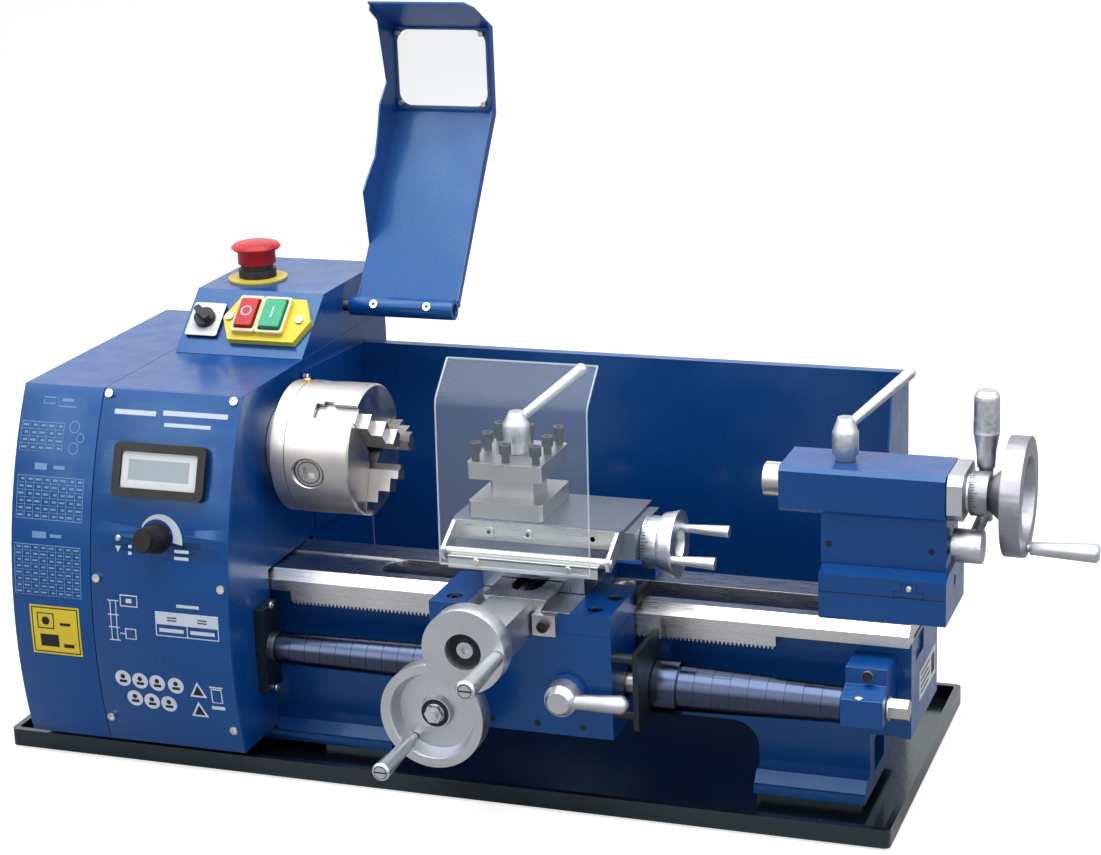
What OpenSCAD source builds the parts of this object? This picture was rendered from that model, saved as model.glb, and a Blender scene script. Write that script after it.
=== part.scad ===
// Mini metal lathe, drawn in millimetres.
// X runs along the bed to the tailstock, Y to the back, Z up.
// The origin is under the tray, in the plane of the spindle.

/* [Chip tray] */
// Length of the chip tray
tray_l = 708; // [690:1:720]
// Reach of the tray in front of the spindle
tray_front = 95; // [92:1:105]
// Reach of the tray behind the spindle
tray_back = 180; // [176:1:195]
// Height of the tray rim
tray_h = 14; // [10:1:17]

/* [Bed] */
// Height of the ways above the bench
way_z = 147; // [147:1:147]
// Right end of the ways
bed_x1 = 356; // [352:1:358]
// Thickness of the cast side walls
bed_wall = 9; // [7:1:10]

/* [Headstock] */
// Height of the spindle above the ways
centre_h = 90; // [90:1:90]
// Bore through the spindle
spindle_bore_r = 10; // [8:0.5:11]
// Chuck radius
chuck_r = 51; // [48:1:52]
// Radius of the curved front of the cabinet
front_r = 366; // [360:1:370]
// Thickness of the sheet steel covers
sheet = 2; // [1.5:0.5:2]

/* [Feed] */
// Distance of the leadscrew in front of the spindle
screw_y = 60; // [60:1:60]
// Height of the leadscrew
screw_z = 92; // [92:1:92]
// Radius of the leadscrew thread
screw_r = 8; // [7.5:0.5:8]
// Module of the change gears
gear_m = 1.25; // [1.25:0.01:1.25]

/* [Carriage] */
// Left side of the saddle
saddle_x0 = 14; // [12:0.5:16]
// Right side of the saddle
saddle_x1 = 153; // [150:1:154]
// Radius of the carriage handwheel
carriage_wheel_r = 39.6; // [36:0.2:40]
// Radius of the cross slide handwheel
cross_wheel_r = 30.6; // [28:0.1:32]

/* [Tailstock] */
// Radius of the tailstock quill
quill_r = 12.5; // [12:0.5:13]
// Radius of the tailstock handwheel
tail_wheel_r = 43; // [40:1:45]

/* [Hidden] */
$fn = 64;

blue = "#1f4f86";
black = "#15161a";
steel = "#b9bcc0";
alloy = "#c9cbce";
gap = 0.3;
fit = 0.05;

// Places along the bed
tray_x = tray_l / 2;
floor_z = 2;
pad_z = 9.5;
foot_top = 17;
foot_x1 = 326;
axis_z = way_z + centre_h;
case_x0 = -259;
case_x1 = -143;
cover_x0 = -328;
case_z0 = 20;
case_top = 293;
case_back = 168;
housing_back = 208;
box_x0 = -254;
box_top = 334.5;
arc_y = 252;
arc_z = 110;
slope_y = 41;
slope_y1 = 89;
slope_a = atan2(box_top - case_top, slope_y1 - slope_y);
ways_y = 41;
gap_y0 = -24;
gap_y1 = 7;

// Gear train: spindle gear, compound stud gear and leadscrew gear
spindle_n = 52;
stud_big_n = 78;
stud_small_n = 54;
lead_n = 72;
reach_a = (spindle_n + stud_big_n) * gear_m / 2;
reach_b = (stud_small_n + lead_n) * gear_m / 2;
drop = [-screw_y, screw_z - axis_z];
span = norm(drop);
along = (reach_a * reach_a - reach_b * reach_b + span * span) / (2 * span);
aside = sqrt(reach_a * reach_a - along * along);
stud_y = drop[0] / span * along - drop[1] / span * aside;
stud_z = axis_z + drop[1] / span * along + drop[0] / span * aside;

// Sockets for the chuck key
key_angles = [187, 307, 67];
key_x = -100.6;

// Rack drive
rack_m = 1;
rack_n = 13;
rack_tip_z = 120.5;
wheel_pinion_n = 16;
rack_big_n = 48;
wheel_x = 29.7;
wheel_z = 86;
rack_gear_z = rack_tip_z + rack_m - rack_n * rack_m / 2;
rack_gear_x = wheel_x + sqrt(pow((wheel_pinion_n + rack_big_n) * rack_m / 2, 2)
    - pow(rack_gear_z - wheel_z, 2));

// Cross feed
cross_x = 76;
cross_z = 159;
saddle_bolts = [[28.9, -85.6], [138.3, -87.3], [145, -61.3]];
swivel_x = 82;
swivel_y = -40;
post_x = 64;
post_y = -37;
top_wheel_z = 195.5;
clamp_y = -8;
clamp_z = 200;
guard_y = 128;
guard_z = 316;

// Switches: buttons and selector on the slope, emergency stop on the top
stop_x = -197;
start_x = -174.4;
button_u = 33.7;
selector_x = -235.7;
selector_u = 31;
estop_x = -219.5;
estop_y = 128;
lever_x = 118.8;
lever_z = 96.5;
speed_x = -202.7;

// Point on the curved cabinet front at a height
function front_y(z, r = front_r) = arc_y - sqrt(r * r - (z - arc_z) * (z - arc_z));
function front_arc(z0, z1, r = front_r, n = 24) =
    [for (i = [0 : n]) let (z = z0 + (z1 - z0) * i / n) [front_y(z, r), z]];
function gear_points(n, m) = [
    for (i = [0 : n - 1], k = [[-0.27, -1.25], [-0.13, -0.15], [0.13, -0.15], [0.27, -1.25]])
        let (a = 360 / n * (i + k[0]), r = n * m / 2 + k[1] * m) [r * cos(a), r * sin(a)]
];

module block(x0, x1, y0, y1, z0, z1) {
    translate([x0, y0, z0]) cube([x1 - x0, y1 - y0, z1 - z0]);
}

module rod_x(x0, x1, y, z, r, r1 = -1) {
    translate([x0, y, z]) rotate([0, 90, 0]) cylinder(h = x1 - x0, r1 = r, r2 = r1 < 0 ? r : r1);
}

module rod_y(x, y0, y1, z, r, r1 = -1) {
    translate([x, y0, z]) rotate([-90, 0, 0]) cylinder(h = y1 - y0, r1 = r, r2 = r1 < 0 ? r : r1);
}

module rod_z(x, y, z0, z1, r, r1 = -1) {
    translate([x, y, z0]) cylinder(h = z1 - z0, r1 = r, r2 = r1 < 0 ? r : r1);
}

// Outline in Y and Z, drawn out along X
module along_x(x0, x1) {
    translate([x0, 0, 0]) rotate([90, 0, 90]) linear_extrude(x1 - x0) children();
}

// Outline in X and Z, drawn out along Y
module along_y(y0, y1) {
    translate([0, y1, 0]) rotate([90, 0, 0]) linear_extrude(y1 - y0) children();
}

// Outline in X and Y, drawn out along Z
module along_z(z0, z1) {
    translate([0, 0, z0]) linear_extrude(z1 - z0) children();
}

module round_rect(x0, x1, y0, y1, r) {
    translate([x0 + r, y0]) square([x1 - x0 - 2 * r, y1 - y0]);
    translate([x0, y0 + r]) square([x1 - x0, y1 - y0 - 2 * r]);
    for (x = [x0 + r, x1 - r], y = [y0 + r, y1 - r]) translate([x, y]) circle(r);
}

module cut_rect(x0, x1, y0, y1, c) {
    polygon([
        [x0 + c, y0], [x1 - c, y0], [x1, y0 + c], [x1, y1 - c],
        [x1 - c, y1], [x0 + c, y1], [x0, y1 - c], [x0, y0 + c]
    ]);
}

// A straight round bar between two points
module bar(p, q, r, r1 = -1) {
    d = q - p;
    translate(p)
        rotate([0, acos(d[2] / norm(d)), atan2(d[1], d[0])])
            cylinder(h = norm(d), r1 = r, r2 = r1 < 0 ? r : r1);
}

// The frame of the sloping switch panel: X stays, Y runs up the slope, Z stands off it
module on_slope() {
    translate([0, slope_y, case_top + gap]) rotate([slope_a, 0, 0]) children();
}

// The frame of the cabinet front at a height: X stays, Y runs up the face, Z stands off it
module on_front(z) {
    lean = asin((z - arc_z) / front_r);
    translate([0, front_y(z), z]) rotate([90 - lean, 0, 0]) children();
}

// Revolving crank handle along -Y with a domed, slotted end
module handle_y(x, z, y0, y1, r0, r1) {
    difference() {
        union() {
            rod_y(x, y1, y0, z, r1, r0);
            rod_y(x, y1 - 1.5, y1, z, r1 - 1.2, r1);
        }
        block(x - r1, x + r1, y1 - 2, y1 - 0.7, z - 0.6, z + 0.6);
        rod_y(x, y0 - 22, y0 + 1, z, 3 + fit);
    }
}

module chip_tray() {
    color(black) {
        difference() {
            along_z(0, tray_h) round_rect(-tray_x, tray_x, -tray_front, tray_back, 5);
            along_z(floor_z, tray_h - 3)
                round_rect(-tray_x + 2, tray_x - 2, -tray_front + 2, tray_back - 2, 4);
            along_z(tray_h - 4, tray_h + 1)
                round_rect(-tray_x + 5, tray_x - 5, -tray_front + 5, tray_back - 5, 3);
            for (x = [-190, 282], y = [-14, 14]) rod_z(x, y, -1, 12, 4.5);
        }
        difference() {
            for (x = [-225, -105, 243]) block(x, x + (x < 0 ? 54 : 78), -40, 40, floor_z, pad_z);
            for (x = [-190, 282], y = [-14, 14]) rod_z(x, y, -1, 12, 4.5);
        }
    }
}

module bed_side() {
    translate([-255, 58]) square([bed_x1 + 255, 74]);
    translate([-225, foot_top]) square([174, 60]);
    translate([243, foot_top]) square([foot_x1 - 243, 60]);
    difference() {
        translate([-52, 38]) square([21, 21]);
        translate([-31, 38]) circle(20);
    }
    difference() {
        translate([223, 38]) square([21, 21]);
        translate([223, 38]) circle(20);
    }
}

module bed() {
    web = 134;
    color(blue) difference() {
        union() {
            for (y = [-31, 31 - bed_wall]) along_y(y, y + bed_wall) bed_side();
            along_x(-255, bed_x1) polygon([
                [-ways_y, 131], [-ways_y, way_z - 7.4], [-ways_y + 7.4, way_z],
                [gap_y0, way_z], [gap_y0, 131]
            ]);
            along_x(-255, bed_x1) polygon([
                [ways_y, 131], [ways_y, way_z - 7.4], [ways_y - 7.4, way_z],
                [gap_y1, way_z], [gap_y1, 131]
            ]);
            block(-255, bed_x1, gap_y0 - 1, gap_y1 + 1, web, way_z - 1.2);
            for (x = [-225, -59, 243, foot_x1 - 8]) block(x, x + 8, -24, 24, foot_top - 1, 120);
            for (x = [60, 150]) block(x, x + 8, -24, 24, 58, 118);
            block(-255, -247, -24, 24, 58, 132);
            block(bed_x1 - 9, bed_x1, -31, 64, 57, 131.5);
            for (x = [[-231, -45], [243, foot_x1]]) {
                block(x[0], x[1], -48, 48, pad_z, foot_top);
                for (s = [-1, 1]) along_x(x[0], x[1]) polygon([
                    [s * 49.6, pad_z], [s * 48, 16], [s * 40, 25], [s * 29, 25], [s * 29, pad_z]
                ]);
            }
        }
        for (x = [[-61, 108], [124, 345]]) along_z(web - 1, way_z + 1)
            round_rect(x[0], x[1], gap_y0, gap_y1, 15);
        for (x = [-190, 282], y = [-14, 14]) rod_z(x, y, 5, 25, 4.5);
        block(foot_x1 - 9, foot_x1 + 1, -16, 16, 22, 48);
        block(bed_x1 - 2, bed_x1 + 1, -16, 12, 112, 128);
    }
}

module feed_rack() {
    pitch = PI * rack_m;
    x0 = rack_gear_x - 53.75 * pitch;
    n = 122;
    color(steel) along_y(-40.3, -31) polygon(concat(
        [[x0 + n * pitch + 1, 131], [x0 - 1, 131], [x0 - 1, rack_tip_z + 2.25]],
        [for (i = [0 : n - 1], k = [[0.1, 2.25], [0.36, 0], [0.64, 0], [0.9, 2.25]])
            [x0 + (i + k[0]) * pitch, rack_tip_z + k[1] * rack_m]],
        [[x0 + n * pitch + 1, rack_tip_z + 2.25]]
    ));
}

module headstock_casting() {
    arm_z = way_z + gap;
    color("#2a4d7a") difference() {
        union() {
            along_x(-254, -146) cut_rect(-44, 44, way_z, 286, 10);
            block(-256.5, -250, -44, 20, arm_z, 190);
            rod_x(-287.5, -250, stud_y, stud_z, 6);
        }
        block(-236, -164, -34, 34, way_z + 10, 276);
        rod_x(-260, -140, 0, axis_z, 24);
        for (x = [-255, -161]) rod_x(x, x + 16, 0, axis_z, 28);
    }
    color(steel) for (x = [-254.5, -160.5]) difference() {
        rod_x(x, x + 15, 0, axis_z, 28);
        rod_x(x - 1, x + 16, 0, axis_z, 20 + fit);
    }
}

module case_profile(d = 0) {
    polygon(concat(
        front_arc(case_z0 + d, case_top - d, front_r - d),
        [[case_back - d, case_top - d], [case_back - d, case_z0 + d]]
    ));
}

module headstock_case() {
    color(blue) {
        difference() {
            union() {
                along_x(case_x0, case_x1) case_profile();
                block(box_x0, case_x1, case_back - 3, housing_back, 60, case_top);
            }
            along_x(case_x0 + sheet, case_x1 - sheet) polygon([
                [-140, case_z0 - 1], [case_back - sheet, case_z0 - 1],
                [case_back - sheet, case_top - sheet], [-140, case_top - sheet]
            ]);
            block(box_x0 + sheet, case_x1 - sheet, case_back - 6, housing_back - sheet, 62, 291);
            along_x(case_x0 - 1, case_x1 + 1) difference() {
                translate([-140, 0]) square([160, 300]);
                translate([arc_y, arc_z]) circle(front_r - sheet - gap, $fn = 256);
            }
            block(case_x1 - 5, case_x1 + 1, -ways_y - 2, ways_y + 2, 10, way_z + 1);
            rod_x(case_x0 - 1, case_x1 + 1, 0, axis_z, 30);
            rod_x(case_x0 - 1, case_x1 + 1, -screw_y, screw_z, 14);
            rod_x(case_x0 - 1, case_x0 + 4, stud_y, stud_z, 8);
            rod_x(case_x0 - 1, case_x0 + 4, 105, 110, 22);
            for (i = [0 : 8]) block(-235, -165, housing_back - 4, housing_back + 1,
                100 + i * 14, 105 + i * 14);
            block(-220, -170, 60, 150, case_top - 5, case_top + 1);
        }
    }
}

module front_panel() {
    color(blue) difference() {
        along_x(case_x0 + 0.2, case_x1) difference() {
            translate([arc_y, arc_z]) circle(front_r, $fn = 256);
            translate([arc_y, arc_z]) circle(front_r - sheet, $fn = 256);
            translate([-60, -500]) square([900, 1000]);
            translate([-300, -500]) square([400, 500 + case_z0]);
            translate([-300, case_top]) square([400, 500]);
        }
        on_front(238) block(-232.7, -170.7, -15, 15, -20, 20);
        on_front(190) rod_z(speed_x, 0, -20, 20, 4 + fit);
    }
}

module gear_cover() {
    color(blue) difference() {
        along_x(cover_x0, case_x0 - gap) difference() {
            translate([arc_y, arc_z]) circle(front_r, $fn = 256);
            translate([case_back, -400]) square([900, 1000]);
            translate([-300, -500]) square([900, 500 + case_z0]);
            translate([-300, case_top]) square([900, 500]);
        }
        along_x(cover_x0 + sheet, case_x0 + 1) difference() {
            translate([arc_y, arc_z]) circle(front_r - sheet, $fn = 256);
            translate([case_back - sheet, -400]) square([900, 1000]);
            translate([-300, -500]) square([900, 500 + case_z0 + sheet]);
            translate([-300, case_top - sheet]) square([900, 500]);
        }
        rod_x(cover_x0 - 1, cover_x0 + 4, 0, axis_z, 24);
        for (i = [0 : 7]) block(-310, -275, case_back - 4, case_back + 1, 80 + i * 20, 86 + i * 20);
    }
}

module box_profile(d = 0) {
    polygon([
        [slope_y + d * 1.2, case_top + gap - (d > 0 ? 1 : 0)], [slope_y1 + d * 0.4, box_top - d],
        [housing_back - 5 - d * 0.4, box_top - d], [housing_back - d, box_top - 5 - d * 0.4],
        [housing_back - d, case_top + gap - (d > 0 ? 1 : 0)]
    ]);
}

module control_box() {
    color(blue) difference() {
        along_x(box_x0, case_x1) box_profile();
        along_x(box_x0 + sheet, case_x1 - sheet) box_profile(sheet);
        rod_z(estop_x, estop_y, 320, 340, 11);
        rod_x(-149, -142, guard_y, guard_z, 5);
        on_slope() {
            rod_z(stop_x, button_u, -10, 10, 4 + fit);
            rod_z(start_x, button_u, -10, 10, 4 + fit);
            rod_z(selector_x, selector_u, -10, 10, 4 + fit);
        }
    }
    color("#3c6b4a") block(-235, -160, 172, 190, 298, 299.6);
    color(black) {
        rod_x(-150, -56, guard_y, guard_z, 5);
        rod_x(-150, -145, guard_y, guard_z, 9);
    }
}

module display_panel() {
    color(black) on_front(238) difference() {
        union() {
            along_z(0.6, 6) round_rect(-240.2, -163.2, -20.5, 20.5, 5);
            along_z(-12, 0.7) round_rect(-232.2, -171.2, -14.5, 14.5, 2);
        }
        along_z(3.5, 7) round_rect(-233.7, -169.7, -14, 14, 2);
    }
    color("#e8ebee") on_front(238) along_z(3.5, 4.2) round_rect(-233.4, -170, -13.7, 13.7, 2);
}

module switch_housing() {
    color("#e9cf3a") on_slope() difference() {
        union() {
            along_z(0.1, 6) polygon([
                [-219.5, 32], [-209.5, 11.5], [-152.5, 11.5],
                [-143.2, 32], [-152.5, 52.5], [-209.5, 52.5]
            ]);
            along_z(0.1, 10.5) round_rect(stop_x - 10.3, stop_x + 10.3, 17, 51, 2);
            along_z(0.1, 10.5) round_rect(start_x - 11.9, start_x + 11.9, 17, 51, 2);
        }
        along_z(2, 12) round_rect(stop_x - 8.7, stop_x + 8.7, 19.6, 48.4, 2);
        along_z(2, 12) round_rect(start_x - 9.9, start_x + 9.9, 19, 49, 2);
        for (x = [stop_x, start_x]) rod_z(x, button_u, 0, 3, 4 + fit);
    }
    color("#e9cf3a") difference() {
        union() {
            rod_z(estop_x, estop_y, box_top + 0.1, box_top + 2, 24.2);
            rod_z(estop_x, estop_y, box_top + 1, box_top + 9, 15.4);
            rod_z(estop_x, estop_y, box_top + 8, box_top + 16.5, 13.2);
        }
        rod_z(estop_x, estop_y, box_top - 1, box_top + 18, 11);
    }
    color("#d8dadd") on_slope() difference() {
        along_z(0.1, 3) round_rect(-250, -222, 15.5, 47, 2);
        rod_z(selector_x, selector_u, -1, 4, 4 + fit);
    }
}

module splash_guard() {
    x0 = -142.4;
    x1 = 314;
    y = 158;
    color(blue) {
        block(x0, x1, y, y + 1.5, floor_z, 277);
        block(x0, x1, y, y + 9, 275.5, 277);
        block(x0, x1, y + 7.5, y + 9, 268, 277);
        block(x0, x1, y, y + 12, floor_z, floor_z + 1.5);
        along_x(x0, x0 + 1.3) polygon([[46, 150], [36.6, 285], [y + 1, 277.6], [y + 1, 150]]);
        along_x(x1 - 1.5, x1) polygon([
            [y + 1, floor_z], [62, floor_z], [62, 60], [88, 236], [101, 275.5], [y + 1, 277]
        ]);
    }
}

module screw_brackets() {
    color(black) difference() {
        union() {
            block(case_x1 + 0.4, case_x1 + 8, -screw_y - 13, -screw_y + 13, screw_z - 34, screw_z + 34);
            rod_x(case_x1 + 0.4, case_x1 + 14, -screw_y, screw_z, 12);
        }
        rod_x(case_x1 - 1, case_x1 + 30, -screw_y, screw_z, 7 + fit);
    }
    color(blue) difference() {
        along_x(314.5, 345) polygon([
            [-78, 82.5], [-78, 103.6], [-62, 109.5], [-62, 121.8],
            [-31.3, 121.8], [-31.3, 76], [-44, 76], [-48, 82.5]
        ]);
        rod_x(313, 346, -screw_y, screw_z, 7 + fit);
    }
}

// A coiled strip cover, drawn as rings that step down in size
module strip_cover(x0, x1, r0, r1, rings) {
    for (i = [0 : rings - 1]) {
        r = r0 + (r1 - r0) * i / (rings - 1);
        a = x0 + (x1 - x0) * i / rings;
        difference() {
            rod_x(a, a + (x1 - x0) / rings + (i < rings - 1 ? 1 : 0), -screw_y, screw_z, r);
            rod_x(a - 1, x1 + 2, -screw_y, screw_z, min(r0, r1) - 3);
        }
    }
}

module screw_cover_left() {
    color("#1b1d24") strip_cover(case_x1 + 15, saddle_x0 - 1, 12.2, 14.5, 8);
}

module screw_cover_right() {
    color("#1b1d24") {
        strip_cover(193, 313.8, 17, 14, 8);
        difference() {
            rod_x(174.5, 193.5, -screw_y, screw_z, 20);
            rod_x(174, 194, -screw_y, screw_z, 13);
        }
    }
}

module motor() {
    my = 105;
    mz = 110;
    color("#2b2d31") difference() {
        rod_x(-250, -152, my, mz, 44);
        for (a = [0 : 30 : 330]) translate([-240, my + 44 * cos(a), mz + 44 * sin(a)])
            rotate([a, 0, 0]) cube([78, 3, 6], center = false);
    }
    color(steel) rod_x(-316, -249, my, mz, 6);
    color(alloy) rod_x(-312, -294, my, mz, 15);
    color("#1a1a1a") difference() {
        hull() {
            rod_x(-311, -295, my, mz, 17.5, $fn = 32);
            rod_x(-311, -295, 0, axis_z, 38, $fn = 32);
        }
        hull() {
            rod_x(-312, -294, my, mz, 15.4, $fn = 32);
            rod_x(-312, -294, 0, axis_z, 36, $fn = 32);
        }
    }
}

module cap_screw() {
    difference() {
        cylinder(h = 2, r = 3.2);
        translate([0, 0, 0.8]) cylinder(h = 2, r = 1.5, $fn = 6);
    }
}

module base_screws() {
    color(steel) {
        for (z = [41, 156, 289.4]) on_front(z) {
            translate([-148.5, 0, 0.1]) cap_screw();
            translate([-253.5, 0, 0.1]) cap_screw();
        }
        for (z = [58, 126]) translate([case_x1 + 8.1, -screw_y, z]) rotate([0, 90, 0]) cap_screw();
        for (x = [-213.6, -152.6]) on_slope() translate([x, 32.4, 6.1]) cap_screw();
        translate([331.3, -62.1, 116.4]) rotate([90, 0, 0]) scale(1.3) cap_screw();
        translate([-141, 44, 278]) rotate([0, 90, 0]) cap_screw();
    }
}

module spindle() {
    color(steel) difference() {
        union() {
            rod_x(-322, -142, 0, axis_z, 20);
            rod_x(-142.5, -131, 0, axis_z, 33);
        }
        rod_x(-330, -100, 0, axis_z, spindle_bore_r);
    }
}

module gear_x(x0, x1, y, z, n, m, bore) {
    translate([x0, y, z]) rotate([90, 0, 90]) linear_extrude(x1 - x0) difference() {
        polygon(gear_points(n, m));
        circle(bore);
    }
}

module spindle_pulley() {
    color(alloy) {
        gear_x(-272, -264, 0, axis_z, spindle_n, gear_m, 20.02);
        difference() {
            rod_x(-312, -294, 0, axis_z, 35.5);
            rod_x(-313, -290, 0, axis_z, 20.02);
        }
        difference() {
            rod_x(-294, -272, 0, axis_z, 26);
            rod_x(-295, -271, 0, axis_z, 20.02);
        }
    }
}

module chuck_body() {
    x0 = -131;
    x1 = -67;
    color(steel) difference() {
        union() {
            rod_x(x0, x0 + 11, 0, axis_z, chuck_r - 0.5);
            rod_x(x0 + 10, x0 + 12.5, 0, axis_z, chuck_r - 2);
            rod_x(x0 + 12, x1 - 1.5, 0, axis_z, chuck_r);
            rod_x(x1 - 1.5, x1, 0, axis_z, chuck_r, chuck_r - 1.5);
        }
        rod_x(x0 - 1, x1 + 1, 0, axis_z, 11);
        rod_x(-113, -102, 0, axis_z, 42);
        for (a = [130, 10, 250]) translate([0, 0, axis_z]) rotate([a - 180, 0, 0]) {
            translate([-100, -60, -6.8]) cube([40, 56, 13.6]);
            translate([-94, -60, -9.3]) cube([8, 56, 18.6]);
        }
        for (a = key_angles) translate([0, 0, axis_z]) rotate([a - 180, 0, 0])
            translate([key_x, -60, 0]) rotate([-90, 0, 0]) {
                cylinder(h = 16, r = 12);
                translate([0, 0, 6]) cylinder(h = 5, r1 = 16, r2 = 12);
            }
    }
    color(steel) for (a = key_angles) translate([0, 0, axis_z]) rotate([a - 180, 0, 0])
        translate([key_x, -48.2, 0]) rotate([-90, 0, 0]) difference() {
            cylinder(h = 5, r = 11);
            translate([-4.5, -4.5, -1]) cube([9, 9, 5]);
        }
}

// One stepped jaw, drawn pointing to -Y and turned to its slot
module jaw(a) {
    color(steel) translate([0, 0, axis_z]) rotate([a - 180, 0, 0]) {
        difference() {
            union() {
                translate([-99.5, -46, -6.5]) cube([33, 36, 13]);
                translate([-93.7, -46, -9]) cube([7.4, 36, 18]);
                translate([-68, -40, -6.5]) cube([10, 30, 13]);
                translate([-60, -31, -6.5]) cube([11, 21, 13]);
                translate([-50, -21, -6.5]) cube([7, 11, 13]);
            }
            for (s = [-1, 1]) translate([-70, -10, 0]) rotate([s * 30, 0, 0])
                translate([-40, -1, s > 0 ? 3.2 : -23.2]) cube([90, 30, 20]);
        }
    }
}

module chuck_jaw_1() {
    jaw(130);
}

module chuck_jaw_2() {
    jaw(10);
}

module chuck_jaw_3() {
    jaw(250);
}

module chuck_scroll() {
    color(steel) difference() {
        rod_x(-111, -103, 0, axis_z, 41);
        rod_x(-112, -102, 0, axis_z, 14);
        for (r = [18, 26, 34]) difference() {
            rod_x(-105, -102, 0, axis_z, r + 4);
            rod_x(-106, -101, 0, axis_z, r);
        }
    }
}

module stud_gear() {
    color(steel) {
        gear_x(-272, -264, stud_y, stud_z, stud_big_n, gear_m, 6 + fit);
        gear_x(-284, -276, stud_y, stud_z, stud_small_n, gear_m, 6 + fit);
        difference() {
            rod_x(-276.5, -271.5, stud_y, stud_z, 14);
            rod_x(-280, -270, stud_y, stud_z, 6 + fit);
        }
    }
}

module lead_screw() {
    color(steel) {
        rod_x(-290, 347, -screw_y, screw_z, 7);
        rod_x(-118, 300, -screw_y, screw_z, screw_r);
        rod_x(345.3, 346.8, -screw_y, screw_z, 9);
        translate([346.5, -screw_y, screw_z]) rotate([0, 90, 0]) cylinder(h = 14, r = 8.08, $fn = 6);
    }
    color(alloy) gear_x(-284, -276, -screw_y, screw_z, lead_n, gear_m, 7.01);
}

module saddle() {
    top = 158;
    seat = way_z + gap;
    rim = 126;
    color(blue) difference() {
        union() {
            block(saddle_x0, saddle_x1, -100, -34, 142, top);
            block(saddle_x0, saddle_x1, 10, 48, seat - 1, top);
            block(saddle_x0, saddle_x1, ways_y + gap, 48, rim, top);
            block(saddle_x0, saddle_x1, 34, 48, rim, 130.7);
            block(42.9, 122.6, -100, 48, seat - 1, top);
            along_y(-100, 48) polygon([
                [62, top - 1], [62, top], [57, top + 8.5],
                [105.5, top + 8.5], [100.5, top], [100.5, top - 1]
            ]);
            block(96.7, 114.3, -108, -99, 142.1, top - 0.1);
            block(saddle_x1 - 1, saddle_x1 + 3.3, -45, -14, seat, 155);
        }
        along_x(saddle_x0 - 1, saddle_x1 + 4) polygon([
            [-ways_y - gap, 130.7], [-ways_y - gap, way_z - 7.3], [-ways_y + 7.3, seat],
            [ways_y - 7.3, seat], [ways_y + gap, way_z - 7.3], [ways_y + gap, 130.7]
        ]);
        for (p = saddle_bolts) {
            rod_z(p[0], p[1], top - 7, top + 1, 6);
            rod_z(p[0], p[1], 140, top, 3.5);
        }
        rod_y(cross_x, -101, -60, cross_z, 4 + fit);
        along_z(top - 4.4, top + 10) {
            translate([81, -74]) circle(11);
            translate([69.5, -74]) square([23, 130]);
        }
        for (x = [saddle_x0 + 26, saddle_x1 - 28])
            block(x - 12, x + 12, 20, 60, 100, top + 1);
    }
}

module apron() {
    color(blue) difference() {
        union() {
            block(saddle_x0, saddle_x1, -100, -43, 63, 141.8);
            rod_y(wheel_x, -106, -99, wheel_z, 13);
            rod_y(lever_x, -104, -99, lever_z, 15);
        }
        block(saddle_x0 + 8, saddle_x1 - 8, -91, -42, 71, 134);
        block(17.5, 69.5, -87, -76, 88, 143);
        block(18.5, 30, -91.1, -68, 74, 99);
        block(saddle_x0 + 8, 72, -44, -20, 71, 150);
        rod_x(saddle_x0 - 1, saddle_x1 + 1, -screw_y, screw_z, 12.5);
        rod_y(wheel_x, -107, -90, wheel_z, 8 + fit);
        rod_y(rack_gear_x, -98, -90, rack_gear_z, 4 + fit);
        rod_y(lever_x, -107, -90, lever_z, 8 + fit);
        for (p = saddle_bolts) rod_z(p[0], p[1], 120, 143, 3);
    }
}

module cover_holder() {
    color(black) difference() {
        union() {
            block(170, 174, -104, -50, 74, 133);
            for (z = [83, 126]) rod_x(saddle_x1 + 0.1, 171, -97, z, 4);
        }
        rod_x(165, 176, -screw_y, screw_z, 12.5);
    }
}

module cross_feed_bracket() {
    color(alloy) difference() {
        block(63, 95, -158, -100.3, 140, 166.5);
        rod_y(cross_x, -159, -99, cross_z, 5 + fit);
        for (z = [147, 160]) rod_y(88, -159, -155, z, 2);
    }
}

module carriage_wheel() {
    y = -135;
    color(alloy) {
        difference() {
            rod_y(wheel_x, y - 8, y + 7, wheel_z, carriage_wheel_r);
            rod_y(wheel_x, y - 9, y + 4, wheel_z, 33, 29);
            rod_y(11, y - 12, y + 10, 63.5, 3);
        }
        rod_y(wheel_x, y - 1, y + 5, wheel_z, 11.5, 13);
        rod_y(wheel_x, y + 6, -106.3, wheel_z, 11);
        translate([wheel_x, y - 5, wheel_z]) rotate([-90, 0, 0]) cylinder(h = 5, r = 7, $fn = 6);
        rod_y(wheel_x, y - 8, y - 1, wheel_z, 3.6);
    }
    color(steel) {
        rod_y(wheel_x, -107, -69.5, wheel_z, 8);
        translate([wheel_x, -78, wheel_z]) rotate([90, 0, 0]) linear_extrude(8)
            polygon(gear_points(wheel_pinion_n, rack_m));
        rod_y(11, -152, y + 3, 63.5, 3);
    }
}

module carriage_handle() {
    color(alloy) handle_y(11, 63.5, -143.5, -195, 4.4, 6.8);
}

module rack_gear() {
    color(steel) {
        translate([rack_gear_x, -78, rack_gear_z]) rotate([90, 0, 0]) linear_extrude(7)
            polygon(gear_points(rack_big_n, rack_m));
        rod_y(rack_gear_x, -97, -32, rack_gear_z, 4);
        translate([rack_gear_x, -32, rack_gear_z]) rotate([90, 0, 0]) linear_extrude(9)
            polygon(gear_points(rack_n, rack_m));
    }
}

module half_nut(side) {
    lift = 3.5;
    difference() {
        translate([0, 0, side * lift]) block(112, 136, -76, -44, screw_z - (side < 0 ? 17 : 0),
            screw_z + (side > 0 ? 17 : 0));
        rod_x(111, 137, -screw_y, screw_z + side * lift, screw_r + fit);
    }
}

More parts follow.
